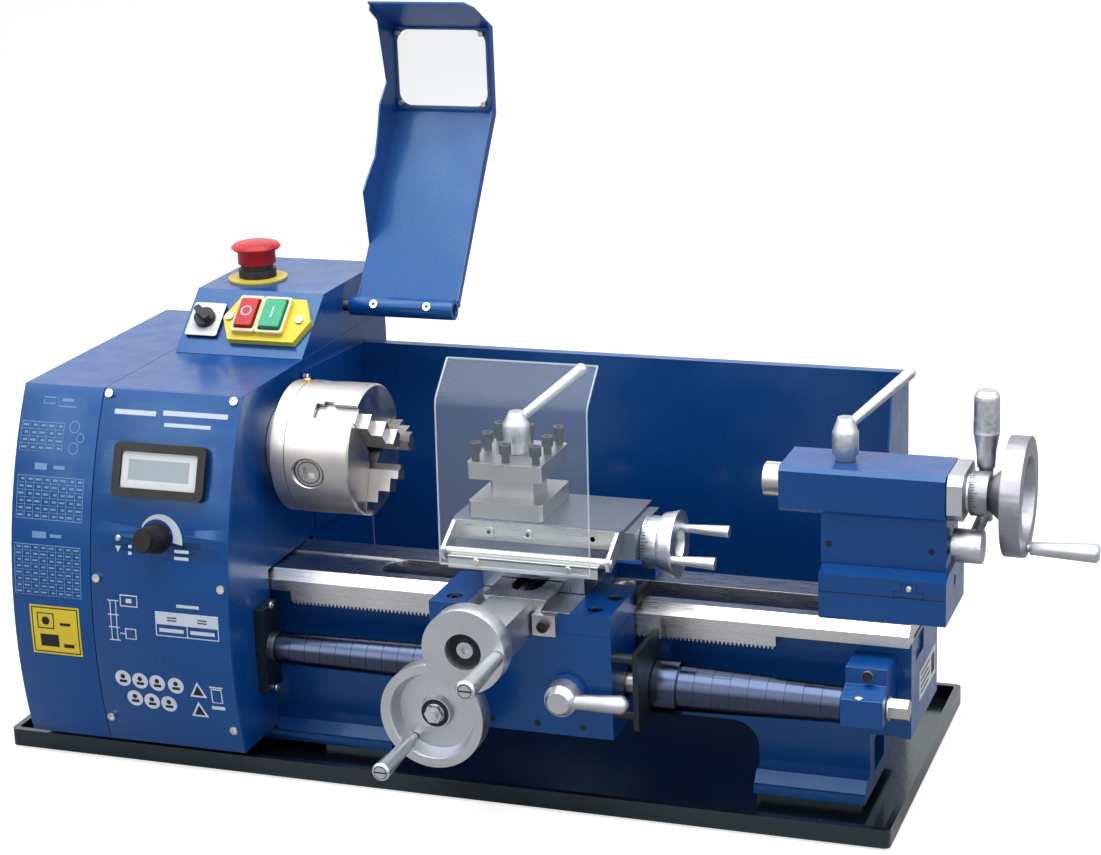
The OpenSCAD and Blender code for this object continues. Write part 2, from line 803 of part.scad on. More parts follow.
module half_nut_upper() {
    color("#b5892e") half_nut(1);
}

module half_nut_lower() {
    color("#b5892e") half_nut(-1);
}

module half_nut_lever() {
    y = -112;
    color(alloy) {
        rod_y(lever_x, -116, -104.3, lever_z, 12, 13);
        rod_y(lever_x, -121, -115.5, lever_z, 8, 12);
        bar([lever_x, y, lever_z - 1.5], [162, y, lever_z], 5, 6.9);
        translate([162, y, lever_z]) sphere(6.9);
    }
    color(steel) rod_y(lever_x, -105, -80, lever_z, 8);
}

module cross_slide() {
    z0 = 158.4;
    color("#9fa2a6") difference() {
        block(42, 121, -61, 70, z0, 172);
        along_y(-62, 71) polygon([[62, 157.4], [56.5, 166.8], [106, 166.8], [100.5, 157.4]]);
    }
    color("#b5892e") difference() {
        block(cross_x - 6, cross_x + 6, -12, 12, 154.2, 167.5);
        rod_y(cross_x, -20, 20, cross_z, 4 + fit);
    }
}

module cross_wheel() {
    y0 = -190.5;
    y1 = -174.5;
    pin_x = cross_x + 24.8;
    pin_z = cross_z - 1.7;
    color(alloy) {
        difference() {
            rod_y(cross_x, y0, y1, cross_z, cross_wheel_r);
            rod_y(cross_x, y0 - 1, y0 + 9, cross_z, 13.4);
            rod_y(pin_x, y0 - 1, y0 + 8, pin_z, 3);
        }
        rod_y(cross_x, y1 - 0.5, -158.3, cross_z, 14);
        difference() {
            rod_y(cross_x, y0 + 3.5, y0 + 9.5, cross_z, 6);
            translate([cross_x, y0 + 2, cross_z]) rotate([-90, 0, 0]) cylinder(h = 5, r = 3, $fn = 6);
        }
    }
    color(steel) {
        rod_y(cross_x, -160, -100, cross_z, 5);
        rod_y(cross_x, -101, 44, cross_z, 4);
        rod_y(pin_x, y0 - 17, y0 + 8, pin_z, 3);
    }
}

module cross_handle() {
    color(alloy) handle_y(cross_x + 24.8, cross_z - 1.7, -191, -250, 5.2, 7.1);
}

module swivel_base() {
    color("#8f9296") difference() {
        union() {
            rod_z(swivel_x, swivel_y, 172.3, 181, 32);
            block(28, 142, -64, -16, 180.5, 189.5);
            along_x(28, 133) polygon([[-58, 189], [-22, 189], [-27, 196.5], [-53, 196.5]]);
        }
        rod_x(90, 143, swivel_y, top_wheel_z, 6);
    }
}

module top_slide() {
    color("#9fa2a6") difference() {
        union() {
            block(24, 154.5, -68.5, 1.5, 189.9, 213);
            block(154, 163, -68, -8, 190, 211);
        }
        along_x(20, 154) polygon([[-58.6, 189], [-21.4, 189], [-26.6, 196.9], [-53.4, 196.9]]);
        rod_x(130, 170, swivel_y, top_wheel_z, 5 + fit);
        for (x = [53, 83, 132]) rod_y(x, -69, -60, 205, 2.5);
    }
    color(steel) rod_z(post_x, post_y, 212, 270, 5);
}

module top_wheel() {
    z = top_wheel_z;
    color(alloy) {
        rod_x(163.4, 176, swivel_y, z, 19.4);
        difference() {
            rod_x(176, 188, swivel_y, z, 22, 25);
            rod_x(182, 189, swivel_y, z, 12);
        }
        rod_x(181, 185, swivel_y, z, 5.4);
        for (s = [-1, 1]) rod_x(187.5, 220, swivel_y + s * 19.3, z + s * 5.5, 3, 4.5);
    }
    color(steel) rod_x(154, 164, swivel_y, z, 5);
}

module shield_bracket() {
    color("#a9abae") {
        difference() {
            block(24, 152, -71.1, -68.8, 198, 212);
            for (x = [53, 83, 132]) rod_y(x, -72.5, -66, 205, 2);
        }
        for (x = [24, 149.5]) difference() {
            along_x(x, x + 2.5) polygon([[-70, 212], [-70, 198], [-91, 188], [-95.5, 190.5], [-96.4, 198]]);
            rod_x(x - 1, x + 4, -90, 195, 3 + fit);
        }
        for (x = [53, 83]) rod_y(x, -73.1, -68.8, 205, 3.4);
    }
}

module chip_shield() {
    color([0.85, 0.9, 0.92, 0.4]) {
        along_x(24, 139) polygon([
            [-99.6, 187], [-98.2, 187], [-92.2, 308.2], [-66.5, 333], [-67.6, 334], [-93.8, 309]
        ]);
    }
    color("#a9abae") {
        rod_x(23, 153, -90, 195, 3);
        block(30, 144, -98, -96.4, 184.5, 194);
        block(30, 144, -98, -90, 191.8, 193.4);
    }
}

module tool_post() {
    color("#8f9296") difference() {
        union() {
            along_z(213.3, 226) cut_rect(35.5, 93, -68, -6, 2);
            along_z(225, 244) cut_rect(48, 81, -54, -20, 2);
            along_z(243, 255.6) cut_rect(35.5, 93, -68, -6, 2);
        }
        rod_z(post_x, post_y, 210, 260, 5.3);
    }
    color("#2b2c2f") for (x = [41, 64.2, 87.5], y = [-62, -36.5, -11]) if (x != 64.2 || y != -36.5) {
        rod_z(x, y, 255.5, 262.5, 3);
        difference() {
            rod_z(x, y, 262, 269.5, 4.4);
            rod_z(x, y, 266, 270, 2.2, $fn = 6);
        }
    }
}

module tool_post_lever() {
    knob = [104, -4, 312];
    color("#cfd1d3") {
        difference() {
            union() {
                rod_z(post_x, post_y, 256, 262, 8);
                rod_z(post_x, post_y, 261.5, 277, 10);
                rod_z(post_x, post_y, 277, 287, 10, 5.2);
            }
            rod_z(post_x, post_y, 250, 271, 5 + fit);
        }
        bar([post_x, post_y, 279], knob, 3.6, 4.2);
        translate(knob) sphere(4.6);
    }
}

module tailstock_base() {
    color(blue) difference() {
        union() {
            along_x(289, 381) polygon([
                [-35, way_z + gap], [34, way_z + gap], [34, 178], [26, 183.8], [-22.5, 183.8],
                [-35, 180]
            ]);
            block(300, 335, -20, 3, 126, 150);
            block(300, 335, -21.5, 18, 122, 130.5);
        }
        rod_x(379, 382, -2.7, 171.7, 4);
    }
}

module tailstock_body() {
    color(blue) difference() {
        union() {
            along_x(258, 378) cut_rect(-26.4, 26.4, 221.5, 255, 3);
            block(288, 378.5, -22, 22, 184, 222);
        }
        rod_x(250, 376, 0, axis_z, quill_r + fit);
        rod_x(360, 380, 0, axis_z, 8);
        for (x = [294, 368]) rod_y(x, -23, -14, 198.4, 2.5);
        rod_x(359.7, 380, clamp_y, clamp_z, 6 + fit);
        rod_z(301, 0, 249.8, 260, 5 + fit);
    }
}

module tail_end_plate() {
    color(alloy) difference() {
        union() {
            along_x(378.8, 389.8) cut_rect(-26, 26, 221.8, 255.5, 6);
            rod_x(389, 391.8, 0, axis_z, 14);
        }
        rod_x(370, 395, 0, axis_z, 7 + fit);
    }
}

module quill() {
    color(steel) difference() {
        rod_x(242, 372, 0, axis_z, quill_r);
        rod_x(241, 310, 0, axis_z, 8);
        rod_x(309, 373, 0, axis_z, 7 + fit);
        block(241, 262, -1.5, 1.5, axis_z + 11.8, axis_z + 20);
    }
}

module tail_wheel() {
    color(alloy) {
        difference() {
            rod_x(418, 432, 0, axis_z, tail_wheel_r);
            rod_x(421, 433, 0, axis_z, 27, 30);
        }
        rod_x(404, 418.5, 0, axis_z, 11, 23);
        rod_x(392.3, 405, 0, axis_z, 16);
        rod_x(420, 427, 0, axis_z, 9);
    }
    color(steel) {
        rod_x(312, 394, 0, axis_z, 7);
        rod_x(426, 452, 0, axis_z - 38, 3);
    }
}

module tail_handle() {
    color(alloy) difference() {
        union() {
            rod_x(434, 480, 0, axis_z - 38, 4.6, 7);
            rod_x(480, 482, 0, axis_z - 38, 7, 5);
        }
        rod_x(433, 455, 0, axis_z - 38, 3 + fit);
    }
}

module quill_lever() {
    color("#cfd1d3") {
        rod_z(301, 0, 255.3, 261, 7.5);
        rod_z(301, 0, 260, 276, 9.6);
        rod_z(301, 0, 276, 287, 9.6, 5.5);
        rod_z(301, 0, 250.1, 256, 5);
        bar([301, 0, 279], [339, 39, 311], 3.6, 4.4);
        translate([339, 39, 311]) sphere(4.6);
    }
}

module clamp_lever() {
    x = 398;
    y = 22.5;
    color(alloy) {
        rod_x(381, 402, clamp_y, clamp_z, 12.2);
        bar([394, clamp_y, 203], [x, y, 216], 4.4);
        rod_z(x, y, 210, 251, 5.2);
        rod_z(x, y, 250, 263, 6.4, 7.2);
        rod_z(x, y, 262.5, 276, 7.1, 9.6);
        rod_z(x, y, 275.5, 303, 9.5, 9.1);
        rod_z(x, y, 302.5, 306.5, 9, 7);
    }
    color(steel) rod_x(360, 382, clamp_y, clamp_z, 6);
}

module guard_outline() {
    polygon([
        [136, 322], [165, 358], [159, 397], [158, 404], [166, 412], [186, 428], [193, 444],
        [201, 468], [218, 484], [206, 536], [191, 546], [194, 552], [238, 526], [238, 456], [142, 322]
    ]);
}

module chuck_guard() {
    x0 = -135;
    x1 = -47;
    color(blue) {
        difference() {
            along_x(x0, x1) polygon([
                [134, 318], [140, 318], [239.3, 455.3], [239.3, 527], [189.8, 553.3], [189, 551.8],
                [237.8, 526], [237.8, 456]
            ]);
            along_y(230, 250) round_rect(-132, -53.5, 461, 524, 11);
            translate([x1 + 1, 150, 560]) rotate([0, 45, 0]) cube([18, 100, 18], center = true);
        }
        along_x(x0, x0 + 1.4) guard_outline();
        along_x(x1 - 1.4, x1) polygon([
            [136, 322], [142, 322], [239, 456], [239, 527], [226, 533], [231, 526], [231, 459]
        ]);
        difference() {
            rod_x(-137, x1, guard_y, guard_z, 8);
            rod_x(-140, x1 + 1, guard_y, guard_z, 5 + fit);
        }
        block(x0, x1, 134.5, 141, 316, 322);
    }
    color(steel) for (x = [-114, -68]) translate([x, guard_y, guard_z]) rotate([63, 0, 0])
        translate([0, 0, 7.6]) cylinder(h = 2, r = 3.4);
    color(steel) for (x = [-129.5, -56], z = [463.5, 521.5]) rod_y(x, 233.5, 236.2, z, 2.2);
}

module guard_window() {
    color([0.85, 0.9, 0.92, 0.4]) along_y(236.3, 237.7) round_rect(-133.3, -51, 458.8, 525.4, 5);
}

module estop_button() {
    color("#b3201f") {
        difference() {
            rod_z(estop_x, estop_y, box_top + 13.4, box_top + 26.5, 15.5);
            rod_z(estop_x, estop_y, box_top + 13, box_top + 21, 13.5);
        }
        rod_z(estop_x, estop_y, box_top + 25, box_top + 27, 18.6, 20.5);
        rod_z(estop_x, estop_y, box_top + 27, box_top + 29.6, 20.5, 18.4);
        rod_z(estop_x, estop_y, box_top + 29.6, box_top + 31.2, 18.4, 13);
        rod_z(estop_x, estop_y, box_top + 31.2, box_top + 32, 13, 4);
    }
    color(black) rod_z(estop_x, estop_y, box_top - 12, box_top + 22, 10.95);
}

module push_button(x, half) {
    on_slope() {
        along_z(4.9, 13.5) round_rect(x - half, x + half, 21, 46.5, 2);
        rod_z(x, button_u, -9, 6, 4);
    }
}

module start_button() {
    color("#2f9a6c") push_button(start_x, 8.8);
}

module stop_button() {
    color("#b3201f") push_button(stop_x, 7.4);
}

module selector_knob() {
    color(black) on_slope() translate([selector_x, selector_u, 0]) {
        rod_z(0, 0, 3.3, 8, 8.5);
        rotate([0, 0, -38]) along_z(7, 14) round_rect(-8.4, 8.4, -3, 3, 2.6);
        rod_z(0, 0, -9, 5, 4);
    }
}

module speed_knob() {
    color(black) on_front(190) {
        rod_z(speed_x, 0, 0.4, 3, 12);
        rod_z(speed_x, 0, 3, 20, 10.5, 9.5);
        rod_z(speed_x, 0, 20, 24, 7.5);
        rod_z(speed_x, 0, -14, 2, 4);
    }
}

chip_tray();
bed();
feed_rack();
headstock_casting();
headstock_case();
front_panel();
gear_cover();
control_box();
display_panel();
switch_housing();
splash_guard();
screw_brackets();
screw_cover_left();
screw_cover_right();
motor();
base_screws();
spindle();
spindle_pulley();
chuck_body();
chuck_jaw_1();
chuck_jaw_2();
chuck_jaw_3();
chuck_scroll();
stud_gear();
lead_screw();
saddle();
apron();
cover_holder();
cross_feed_bracket();
carriage_wheel();
carriage_handle();
rack_gear();
half_nut_upper();
half_nut_lower();
half_nut_lever();
cross_slide();
cross_wheel();
cross_handle();
swivel_base();
top_slide();
top_wheel();
shield_bracket();
chip_shield();
tool_post();
tool_post_lever();
tailstock_base();
tailstock_body();
tail_end_plate();
quill();
tail_wheel();
tail_handle();
quill_lever();
clamp_lever();
chuck_guard();
guard_window();
estop_button();
start_button();
stop_button();
selector_knob();
speed_knob();
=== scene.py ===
# %% [markdown]
# # A bench lathe, dressed in paint, metal and print
# The solids of the lathe come in from the frame, already at their real size and place.
# Blender adds what a machinist sees: glossy enamel, ground ways, turned handwheels,
# dials, coiled screw covers, switches and printed panels.
# X runs along the bed, Y to the back and Z up. Places are in metres, and the small details
# are drawn in millimetres and scaled down as they are made.

# %% Load the frame
from math import sin, cos, pi, radians, atan2, asin, sqrt
import bpy
import bmesh
from mathutils import Matrix, Vector


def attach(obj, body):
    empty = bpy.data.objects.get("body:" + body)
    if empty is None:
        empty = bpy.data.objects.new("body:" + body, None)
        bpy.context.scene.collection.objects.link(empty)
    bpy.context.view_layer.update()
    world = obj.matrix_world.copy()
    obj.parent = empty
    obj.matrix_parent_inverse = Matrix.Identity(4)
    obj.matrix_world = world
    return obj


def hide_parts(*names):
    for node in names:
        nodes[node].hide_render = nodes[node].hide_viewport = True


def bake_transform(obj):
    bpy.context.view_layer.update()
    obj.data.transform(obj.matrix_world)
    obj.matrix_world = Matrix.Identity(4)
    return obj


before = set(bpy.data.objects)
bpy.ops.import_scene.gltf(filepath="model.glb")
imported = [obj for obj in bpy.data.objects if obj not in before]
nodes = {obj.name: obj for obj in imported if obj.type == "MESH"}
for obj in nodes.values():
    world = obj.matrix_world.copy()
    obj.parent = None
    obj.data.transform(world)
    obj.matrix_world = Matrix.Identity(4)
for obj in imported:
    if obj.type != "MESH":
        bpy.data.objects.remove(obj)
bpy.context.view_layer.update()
MM = 0.001

# %% [markdown]
# ## The camera
# The machine is seen from a little above the ways and from the tailstock end, through a
# long lens so that the bed hardly narrows. The camera is turned by three angles: yaw to
# the left, pitch down and a small roll.

# %% Camera
CAMERA_PLACE = Vector((0.692, -1.6895, 0.8074))
YAW, PITCH, ROLL = radians(19.996), radians(-16.805), radians(-2.150)


def camera_axes(yaw, pitch, roll):
    ahead = Vector((-sin(yaw) * cos(pitch), cos(yaw) * cos(pitch), sin(pitch)))
    right = Vector((cos(yaw), sin(yaw), 0.0))
    up = right.cross(ahead)
    return right * cos(roll) + up * sin(roll), up * cos(roll) - right * sin(roll), -ahead


camera_data = bpy.data.cameras.new("studio_camera")
camera_data.lens = 82.5
camera_data.sensor_width = 36.0
camera_data.clip_end = 30.0
camera = bpy.data.objects.new("studio_camera", camera_data)
bpy.context.scene.collection.objects.link(camera)
turn = Matrix(camera_axes(YAW, PITCH, ROLL)).transposed().to_4x4()
camera.matrix_world = Matrix.Translation(CAMERA_PLACE) @ turn
bpy.context.scene.camera = camera
print("camera at", tuple(round(v, 3) for v in CAMERA_PLACE))

# %% [markdown]
# ## Helpers for materials
# Every finish is a small node tree. A helper adds a node and sets its inputs, and another
# joins two sockets, so that each finish below reads as a short list of steps.

# %% Node helpers
def new_material(name):
    material = bpy.data.materials.new(name)
    material.use_nodes = True
    tree = material.node_tree
    shader = tree.nodes["Principled BSDF"]
    return material, tree, shader


def add(tree, kind, **values):
    node = tree.nodes.new(kind)
    for name, value in values.items():
        if hasattr(node, name):
            setattr(node, name, value)
        else:
            node.inputs[name.replace("_", " ")].default_value = value
    return node


def join(tree, source, target):
    tree.links.new(source, target)


def object_coords(tree, scale=(1.0, 1.0, 1.0), turn=(0.0, 0.0, 0.0)):
    coords = add(tree, "ShaderNodeTexCoord")
    mapping = add(tree, "ShaderNodeMapping")
    mapping.inputs["Scale"].default_value = scale
    mapping.inputs["Rotation"].default_value = turn
    join(tree, coords.outputs["Object"], mapping.inputs["Vector"])
    return mapping.outputs["Vector"]


def noise(tree, vector, scale, detail=3.0, rough=0.5):
    node = add(tree, "ShaderNodeTexNoise", Scale=scale, Detail=detail, Roughness=rough)
    join(tree, vector, node.inputs["Vector"])
    return node.outputs["Fac"]


def ramp(tree, value, low, high, out_low, out_high):
    node = add(tree, "ShaderNodeMapRange",
               From_Min=low, From_Max=high, To_Min=out_low, To_Max=out_high)
    join(tree, value, node.inputs["Value"])
    return node.outputs["Result"]


def colour_mix(tree, value, first, second):
    node = add(tree, "ShaderNodeMix", data_type="RGBA")
    node.inputs[6].default_value = (*first, 1.0)
    node.inputs[7].default_value = (*second, 1.0)
    join(tree, value, node.inputs[0])
    return node.outputs[2]


def bump(tree, shader, height, strength, distance):
    node = add(tree, "ShaderNodeBump", Strength=strength, Distance=distance)
    join(tree, height, node.inputs["Height"])
    join(tree, node.outputs["Normal"], shader.inputs["Normal"])
    return node


def linear(red, green, blue):
    def one(value):
        value /= 255.0
        return value / 12.92 if value <= 0.04045 else ((value + 0.055) / 1.055) ** 2.4
    return one(red), one(green), one(blue)


# %% [markdown]
# ## Enamel
# The covers are steel sheet and the castings are iron, all sprayed with the same blue
# enamel. Sprayed enamel is never quite flat: a fine orange peel breaks up its reflections.
# On rough castings the peel is deeper. A slow noise shifts the colour a little as well.
# The studio is white, and the enamel's reflections are tinted a cool blue: a painted reflection
# colour standing for a bluish sky mirrored in the gloss. The clear coat over it carries a cool
# blue tint as well.

# %% Enamel
# painted reflection colour: a cool blue tint on the enamel's reflections, standing for a bluish
# sky
SKY_BLUE_REFLECTION_TINT = (0.45, 0.84, 1.0, 1.0)
COAT_TINT = (0.80, 0.95, 1.0, 1.0)


def enamel(name, colour, rough, peel_scale, peel_depth, coat=0.22):
    material, tree, shader = new_material(name)
    where = object_coords(tree)
    slow = noise(tree, where, 14.0, 2.0)
    dark = tuple(c * 0.86 for c in colour)
    light = tuple(min(1.0, c * 1.12) for c in colour)
    join(tree, colour_mix(tree, slow, dark, light), shader.inputs["Base Color"])
    smudge = noise(tree, where, 38.0, 4.0, 0.6)
    join(tree, ramp(tree, smudge, 0.3, 0.7, rough * 0.8, rough * 1.25), shader.inputs["Roughness"])
    bump(tree, shader, noise(tree, where, peel_scale, 2.0), 0.35, peel_depth)
    shader.inputs["Coat Weight"].default_value = coat
    shader.inputs["Specular IOR Level"].default_value = 0.40
    shader.inputs["Specular Tint"].default_value = SKY_BLUE_REFLECTION_TINT
    shader.inputs["Coat Tint"].default_value = COAT_TINT
    shader.inputs["Coat Roughness"].default_value = 0.12
    return material


BLUE = linear(5, 67, 138)
sheet_blue = enamel("sheet_enamel", BLUE, 0.33, 420.0, 0.0004)
cast_blue = enamel("cast_enamel", BLUE, 0.34, 260.0, 0.0007)
tray_black = enamel("tray_enamel", linear(20, 21, 25), 0.22, 300.0, 0.0005, 0.5)
plate_black = enamel("plate_black", linear(22, 22, 24), 0.38, 500.0, 0.0003, 0.1)
print("enamels ready")

# %% [markdown]
# ## Bare metal
# Each metal shows how it was worked. Ground ways have fine lines along the bed, turned
# parts have rings around their axis, castings are grainy, and black steel is oily.
# Stretched noise gives the lines: a high scale across the cut and a low one along it.

# %% Metals
def worked_metal(name, colour, rough, lines, depth, strength=0.5, spread=0.35, metallic=1.0):
    material, tree, shader = new_material(name)
    where = object_coords(tree, lines)
    cut = noise(tree, where, 1.0, 5.0, 0.65)
    stain = noise(tree, object_coords(tree), 30.0, 4.0, 0.55)
    dark = tuple(c * 0.72 for c in colour)
    join(tree, colour_mix(tree, stain, dark, colour), shader.inputs["Base Color"])
    low, high = rough * (1.0 - spread), rough * (1.0 + spread)
    join(tree, ramp(tree, cut, 0.25, 0.75, low, high), shader.inputs["Roughness"])
    bump(tree, shader, cut, strength, depth)
    shader.inputs["Metallic"].default_value = metallic
    return material


ground_steel = worked_metal("ground_steel", (0.60, 0.60, 0.62), 0.30,
                            (40.0, 1400.0, 1400.0), 0.0002)
cross_ground = worked_metal("cross_ground", (0.55, 0.55, 0.57), 0.32,
                            (1400.0, 60.0, 1400.0), 0.0002)
turned_steel = worked_metal("turned_steel", (0.52, 0.50, 0.49), 0.36,
                            (1500.0, 30.0, 30.0), 0.0001, 0.3)
chuck_steel = worked_metal("chuck_steel", (0.56, 0.54, 0.53), 0.38,
                           (1500.0, 40.0, 40.0), 0.0001, 0.2)
jaw_steel = worked_metal("jaw_steel", (0.36, 0.35, 0.35), 0.40, (60.0, 60.0, 900.0), 0.0001, 0.2)
alloy = worked_metal("satin_alloy", (0.53, 0.55, 0.59), 0.38, (500.0, 500.0, 500.0), 0.0002, 0.35)
cast_alloy = worked_metal("cast_alloy", (0.50, 0.52, 0.56), 0.46,
                          (260.0, 260.0, 260.0), 0.0005, 0.5)
dull_alloy = worked_metal("dull_alloy", (0.30, 0.31, 0.35), 0.42,
                          (500.0, 500.0, 500.0), 0.0002, 0.35)
zinc = worked_metal("zinc_plate", (0.62, 0.63, 0.62), 0.34, (90.0, 90.0, 900.0), 0.0002, 0.3)
oiled_iron = worked_metal("oiled_iron", (0.20, 0.24, 0.31), 0.34, (700.0, 700.0, 120.0), 0.0003)
post_steel = worked_metal("post_steel", (0.48, 0.47, 0.46), 0.36,
                          (700.0, 700.0, 120.0), 0.0002, 0.3)
black_steel = worked_metal("black_steel", (0.045, 0.045, 0.05), 0.36,
                           (300.0, 300.0, 300.0), 0.0002)
blued_strip = worked_metal("blued_strip", (0.05, 0.065, 0.11), 0.20,
                           (900.0, 12.0, 12.0), 0.0001, 0.2)
bronze = worked_metal("bronze", (0.60, 0.42, 0.18), 0.35, (400.0, 400.0, 400.0), 0.0002)
print("metals ready")

# %% [markdown]
# ## Plastics and clear sheet
# The switchgear is moulded plastic with a faint grain. The chip shield and the guard's
# window are clear sheet: mostly see-through, with a pale haze and bright cut edges; on the
# shield those edges are a painted highlight.

# %% Plastics
def moulded(name, colour, rough, grain=900.0, glow=0.0):
    material, tree, shader = new_material(name)
    where = object_coords(tree)
    slow = noise(tree, where, 60.0, 2.0)
    dark = tuple(c * 0.88 for c in colour)
    join(tree, colour_mix(tree, slow, dark, colour), shader.inputs["Base Color"])
    join(tree, ramp(tree, slow, 0.3, 0.7, rough * 0.85, rough * 1.15), shader.inputs["Roughness"])
    bump(tree, shader, noise(tree, where, grain, 2.0), 0.25, 0.0002)
    shader.inputs["Specular IOR Level"].default_value = 0.25
    shader.inputs["Emission Color"].default_value = (*colour, 1.0)
    shader.inputs["Emission Strength"].default_value = glow
    return material


def clear(name, colour, alpha, rough):
    material, tree, shader = new_material(name)
    where = object_coords(tree)
    join(tree, ramp(tree, noise(tree, where, 25.0, 3.0), 0.3, 0.7, rough * 0.7, rough * 1.4),
         shader.inputs["Roughness"])
    shader.inputs["Base Color"].default_value = (*colour, 1.0)
    shader.inputs["Alpha"].default_value = alpha
    shader.inputs["Specular IOR Level"].default_value = 0.6
    return material


yellow_plastic = moulded("yellow_plastic", linear(236, 214, 70), 0.34)
red_plastic = moulded("red_plastic", linear(196, 38, 46), 0.30)
green_plastic = moulded("green_plastic", linear(52, 176, 132), 0.30)
black_plastic = moulded("black_plastic", linear(24, 24, 26), 0.42)
white_print = moulded("white_print", linear(214, 226, 244), 0.50)
pale_print = moulded("pale_print", linear(120, 160, 205), 0.50)
white_plastic = moulded("white_plastic", linear(232, 236, 240), 0.34)
frame_plastic = moulded("frame_plastic", linear(238, 232, 190), 0.28)
display_grey = moulded("display_grey", linear(168, 184, 196), 0.16)
dark_mark = moulded("dark_mark", linear(26, 28, 34), 0.50)
label_yellow = moulded("label_yellow", linear(236, 210, 60), 0.42)
clear_sheet = clear("clear_sheet", (0.55, 0.66, 0.78), 0.10, 0.06)
# painted highlight: a paler, less clear finish standing for light caught in the shield's cut edges
edge_highlight_sheet = clear("edge_highlight_sheet", (0.80, 0.88, 0.95), 0.55, 0.25)
print("plastics ready")

# %% [markdown]
# ## Two finishes on one solid
# Some solids carry two finishes: the bed is enamelled below and ground on top, and the
# switch block is yellow with pale button frames. A band test on the object's own
# coordinates picks the finish, so the solid itself stays as it is.

# %% Bands and mixed finishes
# The sloping face of the switch box, as Y and Z of its lower and upper edge.
SLOPE_LOW, SLOPE_HIGH = (41.0, 293.0), (89.0, 334.5)
SLOPE_A = atan2(SLOPE_HIGH[1] - SLOPE_LOW[1], SLOPE_HIGH[0] - SLOPE_LOW[0])
SLOPE_OUT = (0.0, -sin(SLOPE_A), cos(SLOPE_A))
SLOPE_START = Vector((0.0, 41.0, 293.3))
# The front of the headstock is part of a cylinder along X.
FRONT_RADIUS, FRONT_AXIS_Y, FRONT_AXIS_Z = 366.0, 252.0, 110.0


def front_y(z):
    return FRONT_AXIS_Y - sqrt(FRONT_RADIUS * FRONT_RADIUS - (z - FRONT_AXIS_Z) ** 2)


def front_lean(z):
    return asin((z - FRONT_AXIS_Z) / FRONT_RADIUS)


def front_frame(z):
    place = Matrix.Translation((0.0, front_y(z), z))
    return place @ Matrix.Rotation(pi / 2 - front_lean(z), 4, "X")


SLOPE_FRAME = Matrix.Translation(SLOPE_START) @ Matrix.Rotation(SLOPE_A, 4, "X")


def band(tree, direction, low, high):
    """1 where the place along a direction, in millimetres, is between low and high."""
    coords = add(tree, "ShaderNodeTexCoord")
    dot = add(tree, "ShaderNodeVectorMath", operation="DOT_PRODUCT")
    dot.inputs[1].default_value = tuple(1000.0 * c for c in direction)
    join(tree, coords.outputs["Object"], dot.inputs[0])
    above = add(tree, "ShaderNodeMath", operation="GREATER_THAN")
    above.inputs[1].default_value = low
    join(tree, dot.outputs["Value"], above.inputs[0])
    below = add(tree, "ShaderNodeMath", operation="LESS_THAN")
    below.inputs[1].default_value = high
    join(tree, dot.outputs["Value"], below.inputs[0])
    both = add(tree, "ShaderNodeMath", operation="MULTIPLY")
    join(tree, above.outputs[0], both.inputs[0])
    join(tree, below.outputs[0], both.inputs[1])
    return both.outputs[0]


def inside(tree, *bands):
    value = band(tree, *bands[0])
    for one in bands[1:]:
        both = add(tree, "ShaderNodeMath", operation="MULTIPLY")
        join(tree, value, both.inputs[0])
        join(tree, band(tree, *one), both.inputs[1])
        value = both.outputs[0]
    return value


def copy_finish(tree, material):
    """Copies the nodes of a finished material into a tree and returns its shader."""
    copies = {}
    for node in material.node_tree.nodes:
        if node.type == "OUTPUT_MATERIAL":
            continue
        twin = tree.nodes.new(node.bl_idname)
        for key in ("operation", "data_type"):
            if hasattr(node, key):
                setattr(twin, key, getattr(node, key))
        for here, there in zip(node.inputs, twin.inputs):
            if hasattr(here, "default_value"):
                there.default_value = here.default_value
        copies[node.name] = twin
    for link in material.node_tree.links:
        if link.to_node.name in copies and link.from_node.name in copies:
            out_at = list(link.from_node.outputs).index(link.from_socket)
            in_at = list(link.to_node.inputs).index(link.to_socket)
            source, target = copies[link.from_node.name], copies[link.to_node.name]
            tree.links.new(source.outputs[out_at], target.inputs[in_at])
    return copies["Principled BSDF"].outputs["BSDF"]


def mixed_finish(name, base, *layers):
    """A base finish, with each layer's finish laid over it where its bands hold."""
    material = bpy.data.materials.new(name)
    material.use_nodes = True
    tree = material.node_tree
    tree.nodes.clear()
    result = copy_finish(tree, base)
    for finish, bands in layers:
        mixer = add(tree, "ShaderNodeMixShader")
        join(tree, inside(tree, *bands), mixer.inputs[0])
        join(tree, result, mixer.inputs[1])
        join(tree, copy_finish(tree, finish), mixer.inputs[2])
        result = mixer.outputs[0]
    out = add(tree, "ShaderNodeOutputMaterial")
    join(tree, result, out.inputs["Surface"])
    return material


ALONG, BACK, UP = (1.0, 0.0, 0.0), (0.0, 1.0, 0.0), (0.0, 0.0, 1.0)
FAR = 9000.0
slope_zero = SLOPE_START.dot(Vector(SLOPE_OUT))
display_frame = front_frame(238.0)
panel_out = tuple(display_frame.to_3x3() @ Vector((0.0, 0.0, 1.0)))
panel_up = tuple(display_frame.to_3x3() @ Vector((0.0, 1.0, 0.0)))
panel_zero = display_frame.translation.dot(Vector(panel_out))
panel_mid = display_frame.translation.dot(Vector(panel_up))

